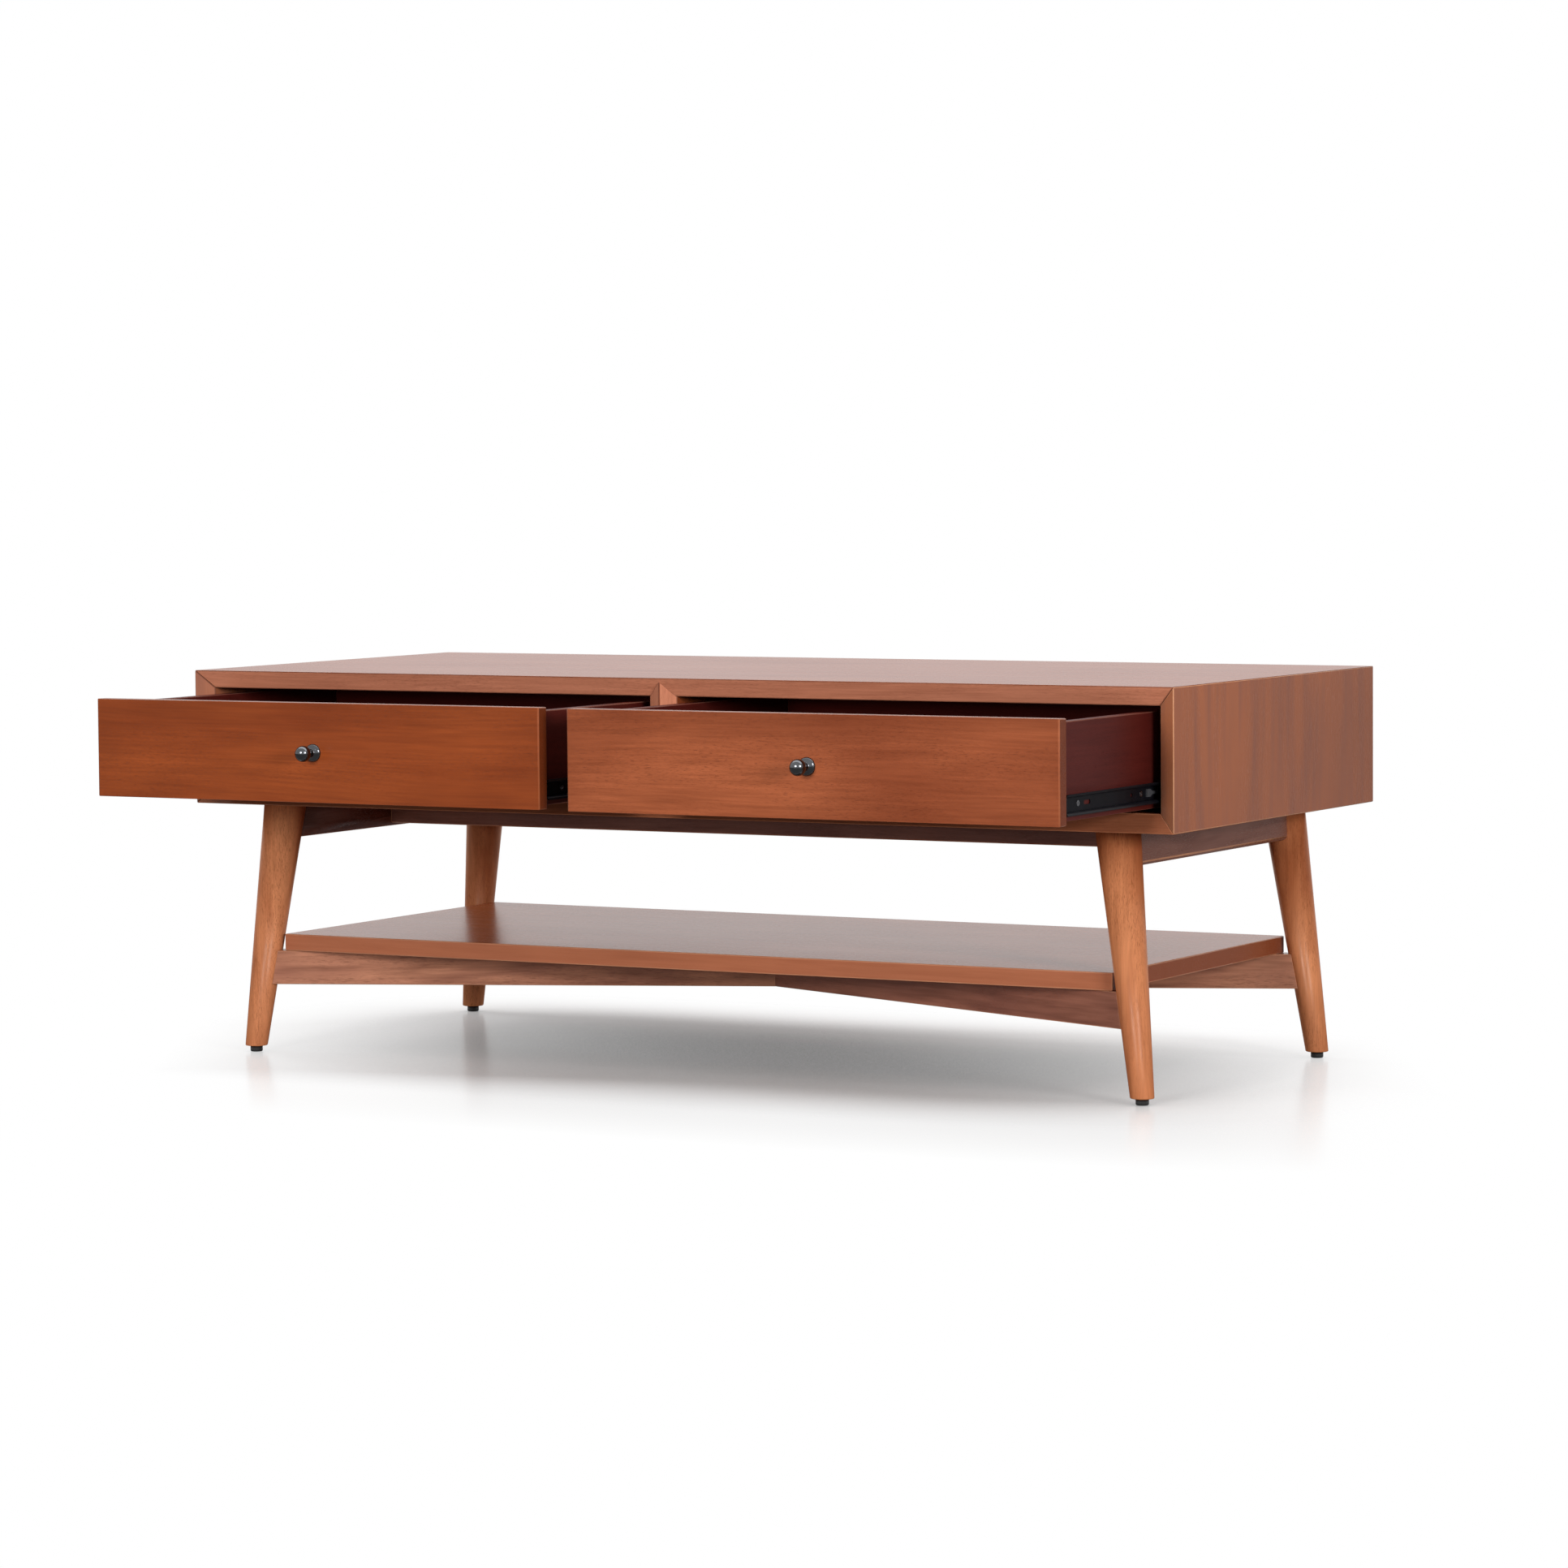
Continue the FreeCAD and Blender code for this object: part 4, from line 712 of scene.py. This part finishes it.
@dataclass
class SplayedBase:
    """Legs with glides, rails, crossed stretchers and the lower shelf."""

    foot_radius: float = 0.0127
    top_radius: float = 0.024
    leg_sides: int = 96
    leg_ease: float = 0.0012
    leg_ease_steps: int = 3
    glide_radius: float = 0.007
    glide_sides: int = 48
    glide_ease: float = 0.0016
    glide_ease_steps: int = 4
    arris: float = 0.0012
    beams: Dict[str, Tuple[WoodFinish, Grain]] = field(default_factory=lambda: {
        # Painted shade: the rails take the darker copy of the beam wood.
        "left_side_rail": (RAIL_WOOD, Grain.ALONG_Y),
        "right_side_rail": (RAIL_WOOD, Grain.ALONG_Y),
        "centre_rail": (RAIL_WOOD, Grain.ALONG_X),
        # Painted light: the rising stretcher takes the lighter copy of the beam wood.
        "rising_stretcher": (PAINTED_LIGHT_BEAM, Grain.RISING),
        "falling_stretcher": (BEAM_WOOD, Grain.FALLING),
    })

    def legs(self) -> List[str]:
        """Return the names of the four legs."""
        return [f"{end}_{side.value}_leg" for end in ("front", "back") for side in Side]

    def leg_axis(self, node: str) -> Tuple[Vector, Vector]:
        """Read the axis of a leg from its CAD box.

        Args:
            node: name of the leg.

        Returns:
            The middle of its foot and the middle of its top.
        """
        low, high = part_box(node)
        foot, top = [], []
        for number, outward in enumerate((node.endswith("left_leg"), node.startswith("front"))):
            outer, inner = (low[number], high[number]) if outward else (high[number], low[number])
            sign = 1.0 if outward else -1.0
            foot.append(outer + sign * self.foot_radius)
            top.append(inner - sign * self.top_radius)
        return Vector((*foot, low[2])), Vector((*top, high[2]))

    def leg(self, node: str) -> bpy.types.Object:
        """Turn one tapered leg, lean it over and ease its foot."""
        foot, top = self.leg_axis(node)
        rise = top - foot
        lean = Matrix.Identity(4)
        lean[0][2], lean[1][2] = rise.x / rise.z, rise.y / rise.z
        stand = Matrix.Translation(foot) @ lean @ Matrix.Translation((0.0, 0.0, rise.z / 2))
        shape = bmesh.new()
        bmesh.ops.create_cone(shape, cap_ends=True, cap_tris=False, segments=self.leg_sides,
                              radius1=self.foot_radius, radius2=self.top_radius, depth=rise.z, matrix=stand)
        for face in shape.faces:
            face.smooth = len(face.verts) == 4
        rim = [edge for edge in shape.edges if all(abs(vert.co.z - foot.z) < MERGE for vert in edge.verts)]
        ease_edges(shape, rim, self.leg_ease, self.leg_ease_steps)
        # Painted light: the front left leg takes the lighter copy of the leg wood.
        finish = PAINTED_LIGHT_LEG if node == "front_left_leg" else LEG_WOOD
        return finish_piece(f"{node}_turned", shape, node, finish.material(Grain.ALONG_Z))

    def glides(self) -> bpy.types.Object:
        """Make the four round glides under the feet."""
        shape = bmesh.new()
        for node in self.legs():
            foot, _ = self.leg_axis(node)
            place = Matrix.Translation((foot.x, foot.y, foot.z / 2))
            bmesh.ops.create_cone(shape, cap_ends=True, cap_tris=False, segments=self.glide_sides,
                                  radius1=self.glide_radius, radius2=self.glide_radius, depth=foot.z, matrix=place)
        for face in shape.faces:
            face.smooth = len(face.verts) == 4
        rims = [edge for edge in shape.edges if all(vert.co.z < MERGE for vert in edge.verts)]
        ease_edges(shape, rims, self.glide_ease, self.glide_ease_steps)
        return finish_piece("glide_set", shape, "glides", BLACK_PLASTIC.material())

    def dress(self) -> None:
        """Make the legs and glides, and dress the beams, the shelf and the hidden fittings."""
        for node in self.legs():
            self.leg(node)
        self.glides()
        for node, (finish, grain) in self.beams.items():
            dress_panel(node, self.arris, finish, grain)
        dress_panel("shelf", self.arris, SHELF_WOOD, Grain.ALONG_X, FRONT_EDGE)
        for node in ("rail_dowels", "stretcher_dowels"):
            dress_node(node, DOWEL_WOOD.material(Grain.ALONG_Y))
        for node in ("base_screws", "shelf_screws"):
            CrossHeads().dress(node)


@dataclass
class BallKnob:
    """Ball knob on a domed base."""

    radius: float = 0.00875
    centre: float = 0.019
    neck: float = 0.0045
    base_radius: float = 0.00975
    base_height: float = 0.004
    collar: Tuple[float, float] = (0.0012, 0.0016)
    dome: Tuple[float, float] = (0.0026, 0.0012)
    rim: float = 0.0008
    soften: float = 0.0006
    soften_steps: int = 3
    ball_steps: int = 26
    steps: int = 72

    def build(self, side: Side) -> bpy.types.Object:
        """Turn the knob of one drawer.

        Args:
            side: the drawer.

        Returns:
            The knob.
        """
        node = f"{side.value}_knob"
        low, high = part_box(node)
        shape = bmesh.new()
        tip = shape.verts.new((0.0, -self.centre - self.radius, 0.0))
        sweep = math.pi - math.asin(self.neck / self.radius)
        ball = bmesh.ops.spin(shape, geom=[tip], cent=(0.0, -self.centre, 0.0), axis=(1.0, 0.0, 0.0), angle=sweep,
                              steps=self.ball_steps, use_merge=False)
        last = [part for part in ball["geom_last"] if isinstance(part, bmesh.types.BMVert)][0]
        corners = []
        outline = ((-self.base_height - self.collar[0], self.neck), (-self.base_height, self.neck + self.collar[1]),
                   (-self.dome[0], self.base_radius - self.dome[1]), (-self.rim, self.base_radius),
                   (0.0, self.base_radius), (0.0, 0.0))
        for depth, away in outline:
            last = bmesh.ops.extrude_vert_indiv(shape, verts=[last])["verts"][0]
            last.co = (0.0, depth, -away)
            corners.append(last)
        bmesh.ops.bevel(shape, geom=corners[:4], offset=self.soften, offset_type="OFFSET", segments=self.soften_steps,
                        profile=0.5, affect="VERTICES", material=-1, clamp_overlap=True)
        bmesh.ops.spin(shape, geom=shape.verts[:] + shape.edges[:], cent=(0.0, 0.0, 0.0), axis=(0.0, 1.0, 0.0),
                       angle=math.tau, steps=self.steps, use_merge=True)
        bmesh.ops.remove_doubles(shape, verts=shape.verts[:], dist=MERGE)
        bmesh.ops.recalc_face_normals(shape, faces=shape.faces[:])
        for face in shape.faces:
            face.smooth = True
        middle = ((low[0] + high[0]) / 2, high[1], (low[2] + high[2]) / 2)
        bmesh.ops.translate(shape, verts=shape.verts[:], vec=middle)
        return finish_piece(f"{node}_turned", shape, node, KNOB_METAL.material())


@dataclass
class Drawer:
    """One drawer with its knob, screws and the moving half of its slides."""

    side: Side
    front: WoodFinish
    knob: BallKnob = field(default_factory=BallKnob)
    front_arris: float = 0.0012
    box_arris: float = 0.0008

    def dress(self) -> None:
        """Dress the wood, make the knob and finish the metal."""
        hand = self.side.value
        dress_panel(f"{hand}_drawer_front", self.front_arris, self.front, Grain.ALONG_X)
        for part, grain in (("box_front", Grain.ALONG_X), ("left_side", Grain.ALONG_Y),
                            ("right_side", Grain.ALONG_Y), ("back", Grain.ALONG_X), ("bottom", Grain.ALONG_X)):
            dress_panel(f"{hand}_drawer_{part}", self.box_arris, BOX_WOOD, grain)
        self.knob.build(self.side)
        for part in ("knob_screw", "front_screws", "slide_screws"):
            CrossHeads().dress(f"{hand}_{part}")
        for part in ("drawer_left_member", "drawer_right_member", "release_levers", "ball_cages", "balls"):
            node = f"{hand}_{part}"
            dress_node(node, PLAIN_SLOTS[slot_name(node)].material())


@dataclass
class CabinetSlides:
    """The halves of the slides that stay on the case."""

    def dress(self) -> None:
        """Finish the four members and their screws."""
        names = [f"{drawer.value}_drawer_{end.value}_cabinet_member" for drawer in Side for end in Side]
        for node in names:
            dress_node(node, PLAIN_SLOTS[slot_name(node)].material())
        CrossHeads().dress("case_slide_screws")


WARM = (1.0, 0.98, 0.96)
KNOBS = tuple(f"{side.value}_knob_turned" for side in Side)
LEGS = tuple(f"{end}_{side.value}_leg_turned" for end in ("front", "back") for side in Side)


@dataclass(frozen=True)
class Softbox:
    """A studio lamp, which can be for the gloss alone or for some pieces only."""

    name: str
    place: Point
    aim: Point
    size: Tuple[float, float]
    power: float
    colour: Colour = (1.0, 1.0, 1.0)
    glossy: bool = True
    diffuse: bool = True
    only: Tuple[str, ...] = ()

    def build(self) -> None:
        """Hang the lamp, turn it to its aim and, if it is for some pieces only, link it to them."""
        lamp = bpy.data.lights.new(self.name, "AREA")
        lamp.shape = "RECTANGLE"
        lamp.size, lamp.size_y = self.size
        lamp.energy = self.power
        lamp.color = self.colour
        holder = bpy.data.objects.new(self.name, lamp)
        holder.location = self.place
        holder.visible_glossy = self.glossy
        holder.visible_diffuse = self.diffuse
        holder.rotation_euler = (Vector(self.aim) - Vector(self.place)).to_track_quat("-Z", "Y").to_euler()
        bpy.context.scene.collection.objects.link(holder)
        if self.only:
            lit = bpy.data.collections.new(f"{self.name}_pieces")
            for piece in self.only:
                lit.objects.link(bpy.data.objects[piece])
            holder.light_linking.receiver_collection = lit


@dataclass(frozen=True)
class PhotoCamera:
    """The camera of the photograph."""

    place: Point = (2.7941, -4.8916, 0.6820)
    lens: float = 117.5
    yaw: float = 29.059
    pitch: float = 3.752
    roll: float = 0.443
    sensor: float = 36.0
    sight: float = 200.0

    def build(self) -> None:
        """Set the camera up and make it the scene's own."""
        yaw, pitch, roll = (math.radians(angle) for angle in (self.yaw, self.pitch, self.roll))
        ahead = Vector((-math.sin(yaw) * math.cos(pitch), math.cos(yaw) * math.cos(pitch), -math.sin(pitch)))
        right = Vector((math.cos(yaw), math.sin(yaw), 0.0))
        down = ahead.cross(right)
        across = math.cos(roll) * right + math.sin(roll) * down
        below = math.cos(roll) * down - math.sin(roll) * right
        lens = bpy.data.cameras.new("photo_camera")
        lens.lens = self.lens
        lens.sensor_width = self.sensor
        lens.clip_end = self.sight
        camera = bpy.data.objects.new("photo_camera", lens)
        turn = Matrix((across, -below, -ahead)).transposed().to_4x4()
        camera.matrix_world = Matrix.Translation(self.place) @ turn
        bpy.context.scene.collection.objects.link(camera)
        bpy.context.scene.camera = camera


@dataclass
class Studio:
    """White floor, soft lamps and a white surround."""

    floor_radius: float = 30.0
    floor_sides: int = 96
    floor_white: float = 0.32
    floor_seen: float = 1.3
    # Painted shade: the colour the floor takes where the table closes it off.
    floor_painted_shade: Colour = (0.12, 0.135, 0.142)
    floor_gloss: float = 0.2
    floor_rough: float = 0.21
    gloss_edge: Tuple[float, float] = (1.2, 1.9)
    sky_reach: float = 0.32
    sky_span: Tuple[float, float] = (0.1, 0.9)
    sky_samples: int = 8
    # Where painted white takes over from the floor's shadow and painted shade: out of the footprint, and towards the
    # table's ends along a turned line.
    shadow_middle: Point = (0.0, -0.124, 0.0)
    shadow_half: Tuple[float, float] = (0.62, 0.36)
    shadow_edge: Tuple[float, float] = (0.65, 1.35)
    shadow_end: float = 0.7
    shadow_turn: float = 29.0
    shadow_square: float = 4.0
    ambient: float = 0.1
    lamps: Tuple[Softbox, ...] = (
        Softbox("overhead_softbox", place=(0.0, 0.15, 3.4), aim=(0.0, 0.15, 0.0), size=(6.5, 1.5), power=69.0),
        Softbox("front_softbox", place=(0.12, -7.0, 1.5), aim=(0.0, 0.0, 0.28), size=(1.7, 1.5), power=252.0,
                colour=WARM, glossy=False),
        Softbox("right_softbox", place=(6.18, -3.28, 1.5), aim=(0.0, 0.0, 0.28), size=(1.7, 1.5), power=254.0,
                colour=WARM, glossy=False),
        Softbox("front_spark", place=(0.12, -7.0, 2.9), aim=(0.0, 0.0, 0.3), size=(2.6, 2.2), power=350.0,
                diffuse=False, only=KNOBS),
        Softbox("right_spark", place=(6.18, -3.28, 2.9), aim=(0.0, 0.0, 0.3), size=(2.6, 2.2), power=350.0,
                diffuse=False, only=KNOBS),
        Softbox("front_gleam", place=(1.6, -6.8, 1.0), aim=(0.0, 0.0, 0.2), size=(2.0, 2.6), power=400.0,
                diffuse=False, only=LEGS),
        Softbox("right_gleam", place=(5.4, -4.5, 1.0), aim=(0.0, 0.0, 0.2), size=(2.0, 2.6), power=400.0,
                diffuse=False, only=LEGS),
        Softbox("left_softbox", place=(-4.0, 1.4, 1.2), aim=(0.0, 0.1, 0.25), size=(1.8, 1.6), power=34.0,
                glossy=False),
        Softbox("backdrop_light", place=(0.0, 4.2, 0.9), aim=(0.0, 0.1, 0.25), size=(6.0, 1.6), power=66.0,
                glossy=False),
    )

    def floor_open(self, graph: Graph) -> Tuple[bpy.types.NodeSocket, bpy.types.NodeSocket]:
        """Draw how far plain white is painted over the floor's shadow: out of the table's footprint, and more and
        more towards the table's ends.

        Args:
            graph: nodes of the floor's material.

        Returns:
            The share of plain white there, and the distance from the footprint's middle in half footprints.
        """
        place = graph.add("TexCoord").outputs["Object"]
        parts = graph.add("SeparateXYZ", {0: graph.vectors("ADD", place, self.shadow_middle)}).outputs
        shares = [graph.maths("ABSOLUTE", graph.maths("DIVIDE", part, half))
                  for part, half in zip(parts, self.shadow_half)]
        powers = [graph.maths("POWER", share, self.shadow_square) for share in shares]
        away = graph.maths("POWER", graph.maths("ADD", *powers), 1.0 / self.shadow_square)
        near, far = self.shadow_edge
        edge = graph.add("MapRange", {"Value": away, "From Min": near, "From Max": far},
                         interpolation_type="SMOOTHSTEP").outputs[0]
        # Painted light: the shade under the table is lifted towards white along this turned line, more towards the
        # table's ends.
        turn = math.radians(self.shadow_turn)
        ways = [graph.maths("MULTIPLY", part, share) for part, share in zip(parts, (math.cos(turn), math.sin(turn)))]
        end = graph.maths("DIVIDE", graph.maths("ADD", *ways), self.shadow_end)
        end = graph.span(graph.maths("MULTIPLY", end, end), 0.0, 1.0)
        return graph.maths("MAXIMUM", edge, end), away

    def floor(self) -> None:
        """Lay the floor, white by itself away from the table, with painted shade under it on top of the lamps' real
        shadow, and clear from below.
        """
        material, graph = open_material("floor")
        far, away = self.floor_open(graph)
        seen = graph.add("LightPath").outputs["Is Camera Ray"]
        # Painted shade: ambient occlusion under the table darkens the floor's colour.
        open_sky = graph.add("AmbientOcclusion", {"Distance": self.sky_reach}, samples=self.sky_samples).outputs["AO"]
        painted_shade_tint = graph.mix(graph.span(open_sky, *self.sky_span), self.floor_painted_shade, (self.floor_seen,) * 3)
        painted_shade_tint = graph.mix(seen, (self.floor_white,) * 3, painted_shade_tint)
        lit = graph.add("BsdfDiffuse", {"Color": painted_shade_tint}).outputs[0]
        white = graph.add("Emission", {"Strength": 1.0}).outputs[0]
        matt = graph.add("MixShader", {0: graph.maths("MULTIPLY", far, seen), 1: lit, 2: white}).outputs[0]
        sheen = graph.add("BsdfGlossy", {"Color": (1.0, 1.0, 1.0, 1.0), "Roughness": self.floor_rough}).outputs[0]
        gloss = graph.span(away, *self.gloss_edge, self.floor_gloss, 0.0)
        upper = graph.add("MixShader", {0: gloss, 1: matt, 2: sheen}).outputs[0]
        below = graph.add("NewGeometry").outputs["Backfacing"]
        clear = graph.add("BsdfTransparent").outputs[0]
        surface = graph.add("MixShader", {0: below, 1: upper, 2: clear}).outputs[0]
        graph.add("OutputMaterial", {"Surface": surface})
        shape = bmesh.new()
        bmesh.ops.create_circle(shape, cap_ends=True, segments=self.floor_sides, radius=self.floor_radius)
        mesh = bpy.data.meshes.new("floor")
        shape.to_mesh(mesh)
        shape.free()
        mesh.materials.append(material)
        floor = bpy.data.objects.new("floor", mesh)
        bpy.context.scene.collection.objects.link(floor)

    def surround(self) -> None:
        """Make the world white to the eye and in reflections, and a dimmer light elsewhere."""
        world = bpy.data.worlds.new("white_surround")
        world.use_nodes = True
        world.node_tree.nodes.clear()
        graph = Graph(world.node_tree)
        path = graph.add("LightPath").outputs
        seen = graph.maths("MAXIMUM", path["Is Camera Ray"], path["Is Glossy Ray"])
        seen = graph.maths("MAXIMUM", seen, path["Is Transmission Ray"])
        dim, white = (graph.add("Background", {"Color": (1.0, 1.0, 1.0, 1.0), "Strength": strength}).outputs[0]
                      for strength in (self.ambient, 1.0))
        both = graph.add("MixShader", {0: seen, 1: dim, 2: white}).outputs[0]
        graph.add("OutputWorld", {"Surface": both})
        bpy.context.scene.world = world

    def build(self) -> None:
        """Set up the floor, the surround, the lamps and the camera."""
        self.floor()
        self.surround()
        for lamp in self.lamps:
            lamp.build()
        PhotoCamera().build()
        bpy.context.scene.view_settings.view_transform = "Standard"


def main() -> None:
    """Build and dress the table, then the studio."""
    logging.basicConfig(level=logging.INFO, format="%(name)s: %(message)s")
    parts = [CaseShell(), SplayedBase(), CabinetSlides(), Drawer(Side.LEFT, LEFT_FRONT),
             Drawer(Side.RIGHT, RIGHT_FRONT)]
    for part in parts:
        part.dress()
    Studio().build()


if __name__ == "__main__":
    main()
